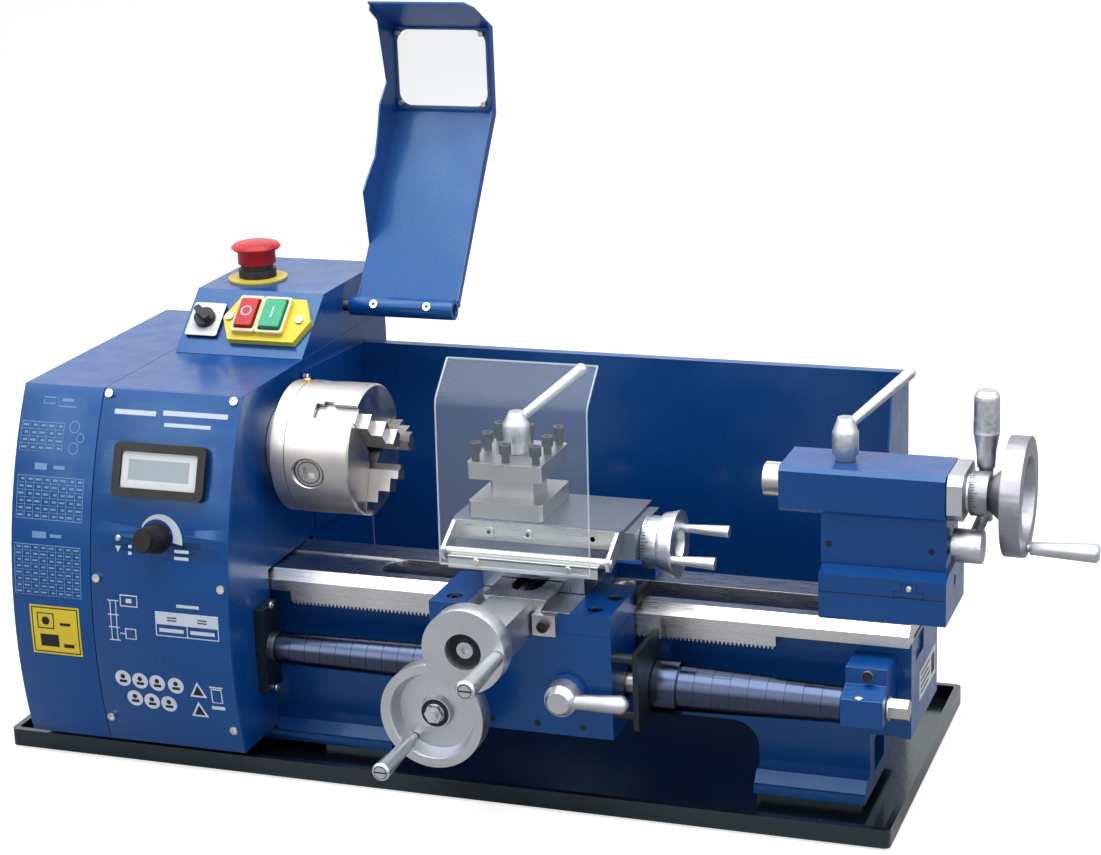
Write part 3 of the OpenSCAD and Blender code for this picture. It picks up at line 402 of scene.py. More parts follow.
WAY_LOW, SADDLE_TOP = 130.9, 157.7
ON_SLOPE, ON_TOP = (BACK, -FAR, 95.0), (BACK, 95.0, FAR)
KNOB_PLATE = (ALONG, -FAR, -221.9)
PANEL_FACE = (panel_out, panel_zero + 3.0, panel_zero + 4.4)
bed_finish = mixed_finish("bed_finish", cast_blue, (ground_steel, [(UP, WAY_LOW, FAR)]))
saddle_finish = mixed_finish(
    "saddle_finish", cast_blue,
    (cross_ground, [(UP, SADDLE_TOP, FAR), (ALONG, 42.95, 122.55)]),
    (cross_ground, [(UP, 142.0, SADDLE_TOP), (BACK, -120.0, -100.15)]),
    (black_plastic, [(ALONG, 153.05, FAR)]))
switch_finish = mixed_finish(
    "switch_finish", yellow_plastic,
    (frame_plastic, [(SLOPE_OUT, slope_zero + 8.4, FAR), ON_SLOPE]),
    # painted shade: black where the selector plate stands, below its white top, for the shade
    # along the plate's sides
    (black_plastic, [KNOB_PLATE, ON_SLOPE]),
    (white_plastic, [KNOB_PLATE, ON_SLOPE, (SLOPE_OUT, slope_zero + 2.85, FAR)]),
    (black_plastic, [(UP, 336.6, FAR), ON_TOP]))
display_finish = mixed_finish(
    "display_finish", black_plastic,
    (white_plastic, [PANEL_FACE, (ALONG, -233.45, -169.95),
                     (panel_up, panel_mid - 13.8, panel_mid + 13.8)]),
    (display_grey, [PANEL_FACE, (ALONG, -227.6, -176.6),
                    (panel_up, panel_mid - 7.6, panel_mid + 8.0)]))
bracket_finish = mixed_finish("bracket_finish", plate_black, (cast_blue, [(ALONG, 0.0, FAR)]))
post_finish = mixed_finish("post_finish", post_steel, (black_steel, [(UP, 255.65, FAR)]))
box_finish = mixed_finish("box_finish", sheet_blue, (black_steel, [(ALONG, -142.9, FAR)]))
motor_finish = mixed_finish("motor_finish", plate_black, (black_plastic, [(ALONG, -FAR, -293.0)]))
print("mixed finishes ready")

# %% [markdown]
# ## Dressing the solids
# The solids keep their own meshes. Each gets its finish, and a weld and a small bevel as
# live modifiers, because real edges are never sharp: a thin highlight along every edge is
# what makes machined and painted parts look solid. The chuck, its jaws and the spindle
# stay crisp, since their slots meet at corners too fine for a bevel.

# %% Finish of each solid
FINISHES = {
    sheet_blue: "headstock_case front_panel gear_cover splash_guard chuck_guard",
    tray_black: "chip_tray",
    plate_black: "cover_holder",
    turned_steel: "spindle lead_screw quill chuck_scroll stud_gear rack_gear",
    chuck_steel: "chuck_body",
    jaw_steel: "chuck_jaw_1 chuck_jaw_2 chuck_jaw_3",
    ground_steel: "feed_rack",
    zinc: "shield_bracket base_screws",
    oiled_iron: "cross_slide swivel_base top_slide",
    dull_alloy: "tail_wheel",
    alloy: "carriage_wheel cross_wheel top_wheel tail_end_plate spindle_pulley"
           " carriage_handle cross_handle tail_handle cross_feed_bracket",
    cast_alloy: "half_nut_lever tool_post_lever quill_lever clamp_lever",
    bronze: "half_nut_upper half_nut_lower",
    clear_sheet: "guard_window",
    switch_finish: "switch_housing",
    display_finish: "display_panel",
    bed_finish: "bed",
    saddle_finish: "saddle",
    bracket_finish: "screw_brackets",
    post_finish: "tool_post",
    box_finish: "control_box",
    motor_finish: "motor",
    red_plastic: "estop_button stop_button",
    green_plastic: "start_button",
    black_plastic: "selector_knob speed_knob",
    cast_blue: "apron tailstock_base tailstock_body headstock_casting",
}
SHEET_BEVEL, CAST_BEVEL, FINE_BEVEL = 0.0005, 0.0009, 0.0003
BEVEL_ANGLE = radians(38)
WELD_REACH = 0.00002
CRISP = "chuck_body chuck_jaw_1 chuck_jaw_2 chuck_jaw_3 spindle".split()
SHEET = ("headstock_case front_panel gear_cover control_box splash_guard chuck_guard"
         " chip_tray").split()
CAST = "bed saddle apron tailstock_base tailstock_body screw_brackets".split()
WIDTHS = {**dict.fromkeys(SHEET, SHEET_BEVEL), **dict.fromkeys(CAST, CAST_BEVEL)}


def soften(thing, width, segments=2, weld=True):
    if weld:
        join_points = thing.modifiers.new("join_points", "WELD")
        join_points.merge_threshold = WELD_REACH
    edge = thing.modifiers.new("soft_edge", "BEVEL")
    edge.width = width
    edge.segments = segments
    edge.limit_method = "ANGLE"
    edge.angle_limit = BEVEL_ANGLE
    edge.harden_normals = True
    return edge


def paint(thing, material):
    thing.data.materials.clear()
    thing.data.materials.append(material)


for material, names in FINISHES.items():
    for name in names.split():
        paint(nodes[name], material)
        if name not in CRISP:
            soften(nodes[name], WIDTHS.get(name, FINE_BEVEL))
print("finished solids:", sum(len(names.split()) for names in FINISHES.values()))

# %% [markdown]
# ## A small mesh kit
# The details are modelled from three kinds of shape, all given in millimetres: a profile
# turned about an axis, an outline raised into a plate, and a plain block. A piece is one
# mesh with one finish, and it rides on the body that it belongs to.

# %% Mesh kit
def turned(form, axis, middle, profile, steps=48):
    """Revolves a profile of (place along the axis, radius) pairs."""
    rings = []
    for place, radius in profile:
        ring = []
        for i in range(steps):
            a = 2 * pi * i / steps
            u, v = middle[0] + radius * cos(a), middle[1] + radius * sin(a)
            spot = {"x": (place, u, v), "y": (u, place, v), "z": (u, v, place)}[axis]
            ring.append(form.verts.new(spot))
        rings.append(ring)
    for one, two in zip(rings, rings[1:]):
        for i in range(steps):
            k = (i + 1) % steps
            form.faces.new((one[i], one[k], two[k], two[i]))


def raised(form, points, low, high):
    """Raises an outline in X and Y from low to high."""
    bottom = [form.verts.new((x, y, low)) for x, y in points]
    top = [form.verts.new((x, y, high)) for x, y in points]
    form.faces.new(bottom)
    form.faces.new(top)
    for i in range(len(points)):
        k = (i + 1) % len(points)
        form.faces.new((bottom[i], bottom[k], top[k], top[i]))


def block(form, x0, x1, y0, y1, z0, z1):
    raised(form, [(x0, y0), (x1, y0), (x1, y1), (x0, y1)], z0, z1)


def piece(name, body, material, build, place=None, edge=0.0):
    form = bmesh.new()
    build(form)
    bmesh.ops.remove_doubles(form, verts=form.verts, dist=0.001)
    bmesh.ops.recalc_face_normals(form, faces=form.faces)
    if place is not None:
        bmesh.ops.transform(form, matrix=place, verts=form.verts)
    bmesh.ops.scale(form, vec=(MM, MM, MM), verts=form.verts)
    mesh = bpy.data.meshes.new(name)
    form.to_mesh(mesh)
    form.free()
    mesh.shade_smooth()
    mesh.set_sharp_from_angle(angle=radians(35))
    mesh.materials.append(material)
    thing = bpy.data.objects.new(name, mesh)
    bpy.context.scene.collection.objects.link(thing)
    if edge:
        soften(thing, edge * MM, weld=False)
    if body:
        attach(thing, body)
    return thing


print("mesh kit ready")

# %% [markdown]
# ## Printed panels
# The front carries white print: a scale round the speed knob, a small table, a belt
# diagram and a row of plain discs, and the gear cover carries three charts and a yellow
# label. All of it is generic: bars, lines and discs, without words. The print is laid
# on the curved front, a fifth of a millimetre proud of the enamel.

# %% Printed panels
PROUD = 0.2
KNOB, SCALE_RADIUS = (-202.7, 190.0), 14.0
DISCS = ((-237.9, 76.2), (-223.4, 75.4), (-208.8, 75.0), (-193.0, 74.4),
         (-230.0, 59.8), (-215.6, 58.6), (-201.2, 57.8))
TRIANGLES = ((-174.6, 72.6), (-175.6, 55.6))


def on_face(x, z):
    lean = front_lean(z)
    return x, front_y(z) - PROUD * cos(lean), z + PROUD * sin(lean)


def patch(form, x0, x1, z0, z1):
    """A printed rectangle that follows the curve of the front."""
    steps = max(1, int((z1 - z0) / 5.0 + 0.99))
    rows = [[form.verts.new(on_face(x, z0 + (z1 - z0) * i / steps)) for x in (x0, x1)]
            for i in range(steps + 1)]
    for low, high in zip(rows, rows[1:]):
        form.faces.new((low[0], low[1], high[1], high[0]))


def shape(form, points):
    form.faces.new([form.verts.new(on_face(x, z)) for x, z in points])


def disc(form, x, z, radius, steps=24):
    shape(form, [(x + radius * cos(2 * pi * i / steps), z + radius * sin(2 * pi * i / steps))
                 for i in range(steps)])


def outline(form, x0, x1, z0, z1, width):
    patch(form, x0, x1, z0, z0 + width)
    patch(form, x0, x1, z1 - width, z1)
    patch(form, x0, x0 + width, z0 + width, z1 - width)
    patch(form, x1 - width, x1, z0 + width, z1 - width)


def chart(form, x0, x1, z0, z1, rows, columns):
    """A ruled table with short bars standing for its entries."""
    outline(form, x0, x1, z0, z1, 0.5)
    high, wide = (z1 - z0) / rows, (x1 - x0) / columns
    for i in range(1, rows):
        patch(form, x0 + 0.5, x1 - 0.5, z0 + i * high - 0.2, z0 + i * high + 0.2)
    for k in range(1, columns):
        patch(form, x0 + k * wide - 0.2, x0 + k * wide + 0.2, z0 + 0.5, z1 - 0.5)
    for i in range(rows):
        for k in range(columns):
            x, z = x0 + k * wide, z0 + i * high
            inset = 0.16 + 0.12 * ((i * 7 + k * 5) % 3)
            patch(form, x + inset * wide, x + 0.82 * wide, z + 0.36 * high, z + 0.66 * high)


def arc_scale(form):
    """The widening scale round the upper half of the speed knob."""
    middle_x, middle_z, steps = *KNOB, 22
    for i in range(steps):
        corners = []
        for k in (i, i + 1):
            a = radians(150.0 - 160.0 * k / steps)
            wide = 1.0 + 7.0 * k / steps
            corners.append([(middle_x + r * cos(a), middle_z + r * sin(a))
                            for r in (SCALE_RADIUS, SCALE_RADIUS + wide)])
        shape(form, [corners[0][0], corners[0][1], corners[1][1], corners[1][0]])


def front_print(form):
    patch(form, -247, -212, 276, 279.4)
    patch(form, -206, -152, 277, 280.4)
    patch(form, -204, -165, 269.4, 272)
    arc_scale(form)
    for x, z, wide in ((-187.6, 180.4, 12), (-187.6, 175.2, 12),
                       (-226.5, 181.0, 3), (-226.5, 176.0, 3)):
        patch(form, x, x + wide, z, z + 2.4)
    shape(form, [(-237.6, 182.0), (-235.2, 177.6), (-232.8, 182.0)])
    patch(form, -186.6, -167.6, 138.8, 141.2)
    outline(form, -205, -152, 115.0, 134.5, 0.8)
    patch(form, -204.2, -152.8, 124.4, 133.6)
    patch(form, -178.8, -178.0, 115.8, 124.4)
    for x in (-202.0, -176.0):
        patch(form, x, x + 20.5, 118.4, 121.4)
    outline(form, -234.5, -219.5, 135.6, 145.0, 0.9)
    patch(form, -229.5, -224.5, 138.6, 142.0)
    for x in (-243.4, -238.6):
        patch(form, x, x + 0.8, 107.6, 140.0)
    for z in (107.6, 118.0, 128.0, 139.2):
        patch(form, -245.4, -236.0, z, z + 0.9)
    outline(form, -231.5, -222.0, 109.6, 118.4, 0.9)
    patch(form, -236.0, -231.5, 113.4, 114.3)
    for x, z in DISCS:
        disc(form, x, z, 6.7)
    for x, z in TRIANGLES:
        shape(form, [(x - 7.2, z - 6.0), (x + 7.2, z - 6.0), (x, z + 7.0)])
    outline(form, -163.6, -154.4, 63.0, 75.0, 0.9)
    patch(form, -164.6, -153.4, 75.6, 77.0)
    patch(form, -164.6, -153.4, 57.4, 60.4)


def front_marks(form):
    """Dark cores in the white fields: simple figures without meaning."""
    for x, z in DISCS:
        disc(form, x, z + 1.6, 2.0, 16)
        patch(form, x - 3.2, x + 3.2, z - 3.6, z - 1.2)
    for x, z in TRIANGLES:
        shape(form, [(x - 4.6, z - 4.6), (x + 4.6, z - 4.6), (x, z + 4.0)])
    for x in (-201.0, -175.5):
        patch(form, x + 6.0, x + 14.0, 127.4, 130.6)


def cover_print(form):
    outline(form, -309, -299, 279.6, 284.6, 0.7)
    patch(form, -296, -280, 278.0, 278.9)
    patch(form, -293, -283, 282.0, 284.0)
    chart(form, -325, -288, 246, 267, 4, 5)
    for x, z, radius in ((-279.2, 264.6, 4.4), (-273.4, 257.2, 3.4), (-278.4, 249.6, 4.4)):
        thin = radius - 0.7
        for i in range(24):
            a, b = 2 * pi * i / 24, 2 * pi * (i + 1) / 24
            shape(form, [(x + r * cos(t), z + r * sin(t))
                         for r, t in ((radius, a), (radius, b), (thin, b), (thin, a))])
    patch(form, -310, -299.5, 233, 237.8)
    patch(form, -294, -284, 234, 236.6)
    chart(form, -324, -266.5, 196.5, 228.5, 6, 8)
    patch(form, -309.4, -297.2, 182.6, 187.6)
    patch(form, -294, -284, 183.6, 186.2)
    chart(form, -325, -267.5, 138.0, 177.6, 8, 8)


def label_field(form):
    patch(form, -313.6, -270.6, 90.6, 130.4)


def label_marks(form):
    outline(form, -312.2, -272.0, 92.0, 129.0, 0.9)
    outline(form, -307.6, -293.0, 111.5, 124.5, 0.9)
    disc(form, -300.3, 118.0, 3.4)
    patch(form, -288.0, -279.0, 115.0, 117.2)
    patch(form, -306.0, -290.0, 97.0, 107.0)
    patch(form, -286.0, -277.0, 97.0, 100.0)


piece("front_print", "base", white_print, front_print)
piece("front_marks", "base", dark_mark, front_marks)
piece("cover_print", "base", pale_print, cover_print)
piece("yellow_label", "base", label_yellow, label_field)
piece("label_marks", "base", dark_mark, label_marks, Matrix.Translation((0.0, -0.1, 0.0)))
print("printed panels ready")

# %% [markdown]
# ## Coiled screw covers
# The leadscrew is covered by spring strip, wound like a clock spring and pulled out into
# a stepped tube. One end follows the carriage and the other stays put; each tube here is
# a plain mesh, fixed where it stands and tied to no body.

# %% Screw covers
SCREW = (-60.0, 92.0)
SCREW_HOLE = 13.0


def coiled_tube(form, x0, x1, r0, r1, rings, collar=None):
    """Turns one short ring per coil, with a collar (start, end, radius) before the first."""
    profile = []
    if collar:
        start, end, radius = collar
        profile += [(start, SCREW_HOLE), (start, radius), (end, radius), (end, r0)]
    step = (x1 - x0) / rings
    for i in range(rings):
        radius = r0 + (r1 - r0) * i / (rings - 1)
        a, b = x0 + i * step, x0 + (i + 1) * step
        profile += [(a + 0.1, radius), (b - 0.7, radius)]
        profile += [(b - 0.45, radius - 0.35), (b - 0.1, radius - 0.35)]
    profile += [(x1, min(r0, r1) - 2.0)]
    turned(form, "x", SCREW, profile, 64)


left_cover = piece("left_screw_cover", None, blued_strip,
                   lambda form: coiled_tube(form, -128, 13, 12.4, 14.3, 11))
right_cover = piece("right_screw_cover", None, blued_strip,
                    lambda form: coiled_tube(form, 193, 313.7, 16.9, 13.9, 9, (174.6, 193, 19.9)))
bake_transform(left_cover)
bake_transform(right_cover)
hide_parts("screw_cover_left")
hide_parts("screw_cover_right")
print("screw covers ready")

# %% [markdown]
# ## Chip shield
# The shield is one clear sheet, bent back at the top. Its cut edges catch the light, and
# that light is a painted highlight: the edges are a paler, less clear piece of their own.
# A steel strip holds its lower edge and a round rod lets it tilt.

# %% Chip shield
SHEET_LINE = [(-99.6, 187.0), (-94.6, 305.0), (-93.6, 309.4), (-91.4, 312.4), (-67.4, 334.0)]
THICK = 1.35


def sheet_outline():
    back = [(y + THICK, z - (0.9 if z > 306 else 0.0)) for y, z in reversed(SHEET_LINE)]
    return SHEET_LINE + back


def shield_sheet(form):
    rows = []
    for y, z in sheet_outline():
        rows.append([form.verts.new((x, y, z)) for x in (24.8, 138.2)])
    for i in range(len(rows)):
        one, two = rows[i], rows[(i + 1) % len(rows)]
        form.faces.new((one[0], one[1], two[1], two[0]))


# The cut edges and the thin strips along the top and bottom, in the paler finish: a painted
# highlight.
def shield_edge_highlights(form):
    points = sheet_outline()
    for x0, x1 in ((24.0, 24.8), (138.2, 139.0)):
        one = [form.verts.new((x0, y, z)) for y, z in points]
        two = [form.verts.new((x1, y, z)) for y, z in points]
        form.faces.new(one)
        form.faces.new(two)
        for i in range(len(points)):
            k = (i + 1) % len(points)
            form.faces.new((one[i], one[k], two[k], two[i]))
    block(form, 24.8, 138.2, -67.4, -66.4, 333.0, 334.0)
    block(form, 24.8, 138.2, -99.6, -98.2, 186.9, 187.7)


def shield_metal(form):
    block(form, 30, 144, -98, -96.4, 184.6, 194)
    block(form, 30, 144, -98, -90, 191.9, 193.4)
    turned(form, "x", (-90, 195), [(23, 0), (23, 3), (153, 3), (153, 0)], 32)
    for x in (52, 122):
        turned(form, "y", (x, 190.5), [(-99.55, 0), (-99.55, 2.4), (-97.9, 2.8), (-97.9, 0)], 24)


sheet = piece("shield_sheet", "shield", clear_sheet, shield_sheet)
piece("shield_edge_highlights", "shield", edge_highlight_sheet, shield_edge_highlights)
piece("shield_strip", "shield", zinc, shield_metal, edge=0.3)
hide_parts("chip_shield")
print("chip shield ready")

# %% [markdown]
# ## Dial divisions
# The collar behind each handwheel is cut with fine lines, and every fifth line is longer.
# They repeat round a circle, so a small geometry node tree sets one thin strip on each
# point of a ring. The result becomes a plain mesh, turned to the axis of its screw.

# %% Dial divisions
def math_node(tree, operation, first, second, third=0.0):
    node = add(tree, "ShaderNodeMath", operation=operation)
    for slot, value in enumerate((first, second, third)):
        if isinstance(value, float):
            node.inputs[slot].default_value = value
        else:
            join(tree, value, node.inputs[slot])
    return node.outputs[0]


def vector_node(tree, *parts):
    node = add(tree, "ShaderNodeCombineXYZ")
    for slot, value in enumerate(parts):
        if isinstance(value, float):
            node.inputs[slot].default_value = value
        else:
            join(tree, value, node.inputs[slot])
    return node.outputs[0]


def division_tree():
    """A tree with named inputs, and the identifiers by which a modifier sets them."""
    tree = bpy.data.node_groups.new("dial_divisions", "GeometryNodeTree")
    named = {}
    for name, kind in (("Count", "NodeSocketInt"), ("Radius", "NodeSocketFloat"),
                       ("Width", "NodeSocketFloat"), ("Short", "NodeSocketFloat"),
                       ("Long", "NodeSocketFloat"), ("Finish", "NodeSocketMaterial")):
        named[name] = tree.interface.new_socket(name, in_out="INPUT", socket_type=kind).identifier
    tree.interface.new_socket("Geometry", in_out="OUTPUT", socket_type="NodeSocketGeometry")
    given = add(tree, "NodeGroupInput").outputs
    ring = add(tree, "GeometryNodeMeshCircle")
    join(tree, given["Count"], ring.inputs["Vertices"])
    join(tree, given["Radius"], ring.inputs["Radius"])
    strip = add(tree, "GeometryNodeMeshGrid", Vertices_X=2, Vertices_Y=2)
    join(tree, given["Width"], strip.inputs["Size X"])
    join(tree, given["Short"], strip.inputs["Size Y"])
    based = add(tree, "GeometryNodeTransform")
    half = math_node(tree, "MULTIPLY", given["Short"], 0.5)
    join(tree, strip.outputs["Mesh"], based.inputs["Geometry"])
    join(tree, vector_node(tree, 0.0, half, 0.0), based.inputs["Translation"])
    index = add(tree, "GeometryNodeInputIndex").outputs[0]
    share = math_node(tree, "DIVIDE", index, given["Count"])
    heading = math_node(tree, "MULTIPLY_ADD", share, 2 * pi, pi / 2)
    fifth = math_node(tree, "LESS_THAN", math_node(tree, "MODULO", index, 5.0), 0.5)
    ratio = math_node(tree, "DIVIDE", given["Long"], given["Short"])
    longer = math_node(tree, "SUBTRACT", ratio, 1.0)
    stretch = math_node(tree, "MULTIPLY_ADD", fifth, longer, 1.0)
    placed = add(tree, "GeometryNodeInstanceOnPoints")
    join(tree, ring.outputs["Mesh"], placed.inputs["Points"])
    join(tree, based.outputs["Geometry"], placed.inputs["Instance"])
    join(tree, vector_node(tree, pi / 2, 0.0, heading), placed.inputs["Rotation"])
    join(tree, vector_node(tree, 1.0, stretch, 1.0), placed.inputs["Scale"])
    real = add(tree, "GeometryNodeRealizeInstances")
    join(tree, placed.outputs["Instances"], real.inputs["Geometry"])
    finish = add(tree, "GeometryNodeSetMaterial")
    join(tree, real.outputs["Geometry"], finish.inputs["Geometry"])
    join(tree, given["Finish"], finish.inputs["Material"])
    join(tree, finish.outputs["Geometry"], add(tree, "NodeGroupOutput").inputs["Geometry"])
    return tree, named


DIVISIONS, DIVISION_INPUTS = division_tree()
ALONG_X = Matrix.Rotation(pi / 2, 4, "Y")
ALONG_Y = Matrix.Rotation(-pi / 2, 4, "X")
LINE_WIDTH = 0.48


def dial_divisions(name, body, place, turn, radius, count, short, long):
    """Lines round a collar, from place on its axis along the turned axis."""
    carrier = bpy.data.objects.new("dial_carrier", bpy.data.meshes.new("dial_carrier"))
    bpy.context.scene.collection.objects.link(carrier)
    modifier = carrier.modifiers.new("divisions", "NODES")
    modifier.node_group = DIVISIONS
    settings = {"Count": count, "Radius": radius, "Width": LINE_WIDTH, "Short": short,
                "Long": long, "Finish": dark_mark}
    for key, value in settings.items():
        modifier[DIVISION_INPUTS[key]] = value
    view = bpy.context.evaluated_depsgraph_get()
    mesh = bpy.data.meshes.new_from_object(carrier.evaluated_get(view))
    bpy.data.objects.remove(carrier)
    mesh.transform(Matrix.Scale(MM, 4) @ Matrix.Translation(place) @ turn)
    mesh.name = name
    thing = bpy.data.objects.new(name, mesh)
    bpy.context.scene.collection.objects.link(thing)
    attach(thing, body)
    return thing


dials = [
    dial_divisions("cross_dial_marks", "cross_crank", (76.0, -162.5, 159.0), ALONG_Y,
                   radius=14.08, count=40, short=2.6, long=5.0),
    dial_divisions("top_dial_marks", "compound_crank", (164.0, -40.0, 195.5), ALONG_X,
                   radius=19.48, count=50, short=3.0, long=5.4),
    dial_divisions("tail_dial_marks", "tail_crank", (393.2, 0.0, 237.0), ALONG_X,
                   radius=16.08, count=50, short=2.8, long=5.0)]
print("dial divisions:", [len(dial.data.polygons) for dial in dials])

# %% [markdown]
# ## Screws and small fittings
# Sockets, slotted heads and little plates are what give a machine its scale, so each one
# stands where the real fitting is.

# %% Small fittings
piece("dial_rings", "compound_crank", dark_mark,
      lambda form: turned(form, "x", (-40, 195.5), [(175.0, 19.5), (176.2, 19.5)]))


def key_plate(form):
    """The edge line of a T-shaped cover plate; its screw is drawn by plate_screw."""
    for x0, x1, z0, z1 in ((343.5, 365.4, 166.9, 167.3), (343.5, 343.9, 166.9, 171.4),
                           (365.0, 365.4, 166.9, 171.4), (343.5, 349.1, 171.0, 171.4),
                           (359.8, 365.4, 171.0, 171.4), (348.7, 349.1, 171.0, 177.8),
                           (359.8, 360.2, 171.0, 177.8), (348.7, 360.2, 177.4, 177.8)):
        block(form, x0, x1, -35.1, -35.0, z0, z1)


def plate_screw(form):
    turned(form, "y", (354.4, 173.6), [(-36.0, 0), (-36.0, 1.6), (-35.0, 2.2)], 20)


def dark_sockets(form):
    """A hexagon socket in the base's end, two screw ends and the line where its halves meet."""
    turned(form, "x", (-2.7, 171.7), [(380.2, 0), (380.2, 2.6), (379.8, 2.6)], 6)
    for x in (294, 368):
        turned(form, "y", (x, 198.4), [(-21.6, 0), (-21.6, 2.3)], 16)
    block(form, 289.0, 380.9, -35.12, -35.0, 166.4, 167.0)


def screw_heads(form):
    x, z = -235.2, 187.8
    face = front_y(z)
    turned(form, "y", (x, z), [(face - 1.5, 0), (face - 1.5, 1.8), (face, 2.5)], 20)


def saddle_sockets(form):
    for x, y in ((28.9, -85.6), (138.3, -87.3), (145.0, -61.3)):
        turned(form, "z", (x, y), [(151.2, 0), (151.2, 4.6), (156.6, 4.9), (157.2, 4.2),
                                   (157.2, 2.4), (153.5, 2.2), (153.5, 0)], 24)


def lock_socket(form):
    turned(form, "y", (105.5, 150.0), [(-111.0, 0), (-111.0, 2.2), (-112.2, 2.6),
                                       (-112.2, 4.2), (-108.0, 4.4)], 24)


def gib_screws(form):
    for x in (60, 95, 130):
        turned(form, "y", (x, 70.5), [(-100.3, 0), (-100.3, 2.4)], 16)


def slide_sockets(form):
    turned(form, "x", (-30, 200), [(163.1, 0), (163.1, 2.6)], 16)
    for x, z in ((53, 205), (83, 205)):
        turned(form, "y", (x, z), [(-73.3, 0), (-73.3, 1.7)], 6)


def tube_screw(form):
    turned(form, "z", (0.0, 0.0), [(9.2, 3.5), (9.7, 3.4), (9.7, 1.5), (9.2, 1.4), (9.2, 0.0)], 24)


def window_screws(form):
    for x in (-129.5, -56.0):
        for z in (463.5, 521.5):
            turned(form, "y", (x, z), [(233.3, 0), (233.3, 1.9), (233.8, 2.3), (234.4, 2.3)], 20)


def bracket_socket(form):
    turned(form, "y", (331.3, 116.4), [(-64.8, 0), (-64.8, 4.1)], 24)


# painted shade: a dark ring at the bottom of the cross wheel's recess, standing for the shade in
# it
def recess_shade_ring(form):
    turned(form, "y", (76, 159), [(-181.65, 6.1), (-181.65, 13.3)], 48)


def hub_ring(form):
    turned(form, "y", (29.7, 86), [(-136.15, 7.2), (-136.15, 10.6)], 48)


for side, x in (("left", -114.0), ("right", -68.0)):
    on_tube = Matrix.Translation((x, 128.0, 316.0)) @ Matrix.Rotation(radians(63), 4, "X")
    piece("tube_screw_" + side, "guard", zinc, tube_screw, on_tube)
piece("window_screws", "guard", zinc, window_screws)
piece("bracket_socket", "base", black_steel, bracket_socket)
piece("cross_recess_shade", "cross_crank", dark_mark, recess_shade_ring)
piece("carriage_hub_ring", "carriage_crank", dark_mark, hub_ring)
piece("key_plate", "tailstock", dark_mark, key_plate)
piece("plate_screw", "tailstock", zinc, plate_screw)
piece("tail_sockets", "tailstock", dark_mark, dark_sockets)
piece("panel_screws", "base", zinc, screw_heads)
piece("saddle_screws", "carriage", black_steel, saddle_sockets)
piece("lock_screw", "carriage", black_steel, lock_socket)
piece("apron_sockets", "carriage", dark_mark, gib_screws)
piece("slide_sockets", "compound", dark_mark, slide_sockets)


def handle_slot(x, z, face):
    """The slotted end of a handle's screw, drawn just in front of the face."""
    front = face - 0.03

    def build(form):
        turned(form, "y", (x, z), [(front, 4.4), (front, 5.0)], 32)
        block(form, x - 4.3, x + 4.3, front, face, z - 0.55, z + 0.55)
    return build


piece("carriage_handle_slot", "carriage_grip", dark_mark, handle_slot(11, 63.5, -196.5))
piece("cross_handle_slot", "cross_grip", dark_mark, handle_slot(100.8, 157.3, -251.5))


def button_zero(form):
    turned(form, "z", (-197, 34.5), [(13.55, 4.6), (13.62, 4.6), (13.62, 3.6), (13.55, 3.6)], 32)


piece("stop_mark", "stop", white_print, button_zero, SLOPE_FRAME)
piece("start_mark", "start", white_print,
      lambda form: block(form, -175.1, -173.7, 29.5, 39.5, 13.5, 13.62), SLOPE_FRAME)


def plate_face(form):
    block(form, 356.0, 356.3, -3.0, 56.0, 75.0, 98.0)


def plate_marks(form):
    for i in range(4):
        block(form, 356.3, 356.36, 2.0, 30.0 + 5.0 * (i % 2), 79.0 + 4.6 * i, 80.6 + 4.6 * i)
    block(form, 356.3, 356.36, 40.0, 52.0, 79.0, 94.0)


def saddle_marks(form):
    """Index line on the saddle's front."""
    block(form, 75.7, 76.3, -158.15, -158.0, 160.5, 165.8)


piece("bed_plate", "base", white_plastic, plate_face)
piece("bed_plate_marks", "base", dark_mark, plate_marks)
piece("index_line", "carriage", dark_mark, saddle_marks)


def oiler(form):
    turned(form, "z", (327.6, -74.0), [(103.5, 3.4), (104.6, 3.4), (105.4, 2.2), (105.6, 0)], 24)


def bore_rings(form):
    """Dark lines round the mouths of the chuck's three key sockets."""
    inner, outer, steps = 8.6, 9.3, 40
    for degrees in (187, 307, 67):
        b = radians(degrees)
        out = Vector((0.0, cos(b), sin(b)))
        middle = Vector((-100.6, 48.3 * cos(b), 237 + 48.3 * sin(b)))
        side = out.cross(Vector((1.0, 0.0, 0.0)))
        for i in range(steps):
            quad = []
            for r, k in ((inner, i), (inner, i + 1), (outer, i + 1), (outer, i)):
                t = 2 * pi * k / steps
                across = Vector((r * cos(t), 0, 0)) + side * (r * sin(t))
                quad.append(form.verts.new(middle + across + out * 0.15))
            form.faces.new(quad)


piece("bracket_oiler", "base", zinc, oiler)
piece("key_socket_rings", "spindle_set", dark_mark, bore_rings)
piece("brass_stop", "spindle_set", bronze,
      lambda form: turned(form, "z", (-119.4, 0),
                          [(286.8, 2.6), (290.4, 2.6), (291.0, 2.0), (291.0, 0)], 24))
print("fittings ready")

# %% [markdown]
# ## The studio
# The machine stands on a white floor that curves up behind it, under a large soft lamp
# with two weaker ones at the front and side. The backdrop glows for the camera. Glossy
# paint mirrors a light tent that is bright overhead and at the back, and dim in front.

# %% Studio
FLOOR_GLOW = 0.74
TENT_LOW, TENT_HIGH, DAYLIGHT = 0.5, 3.2, 0.26


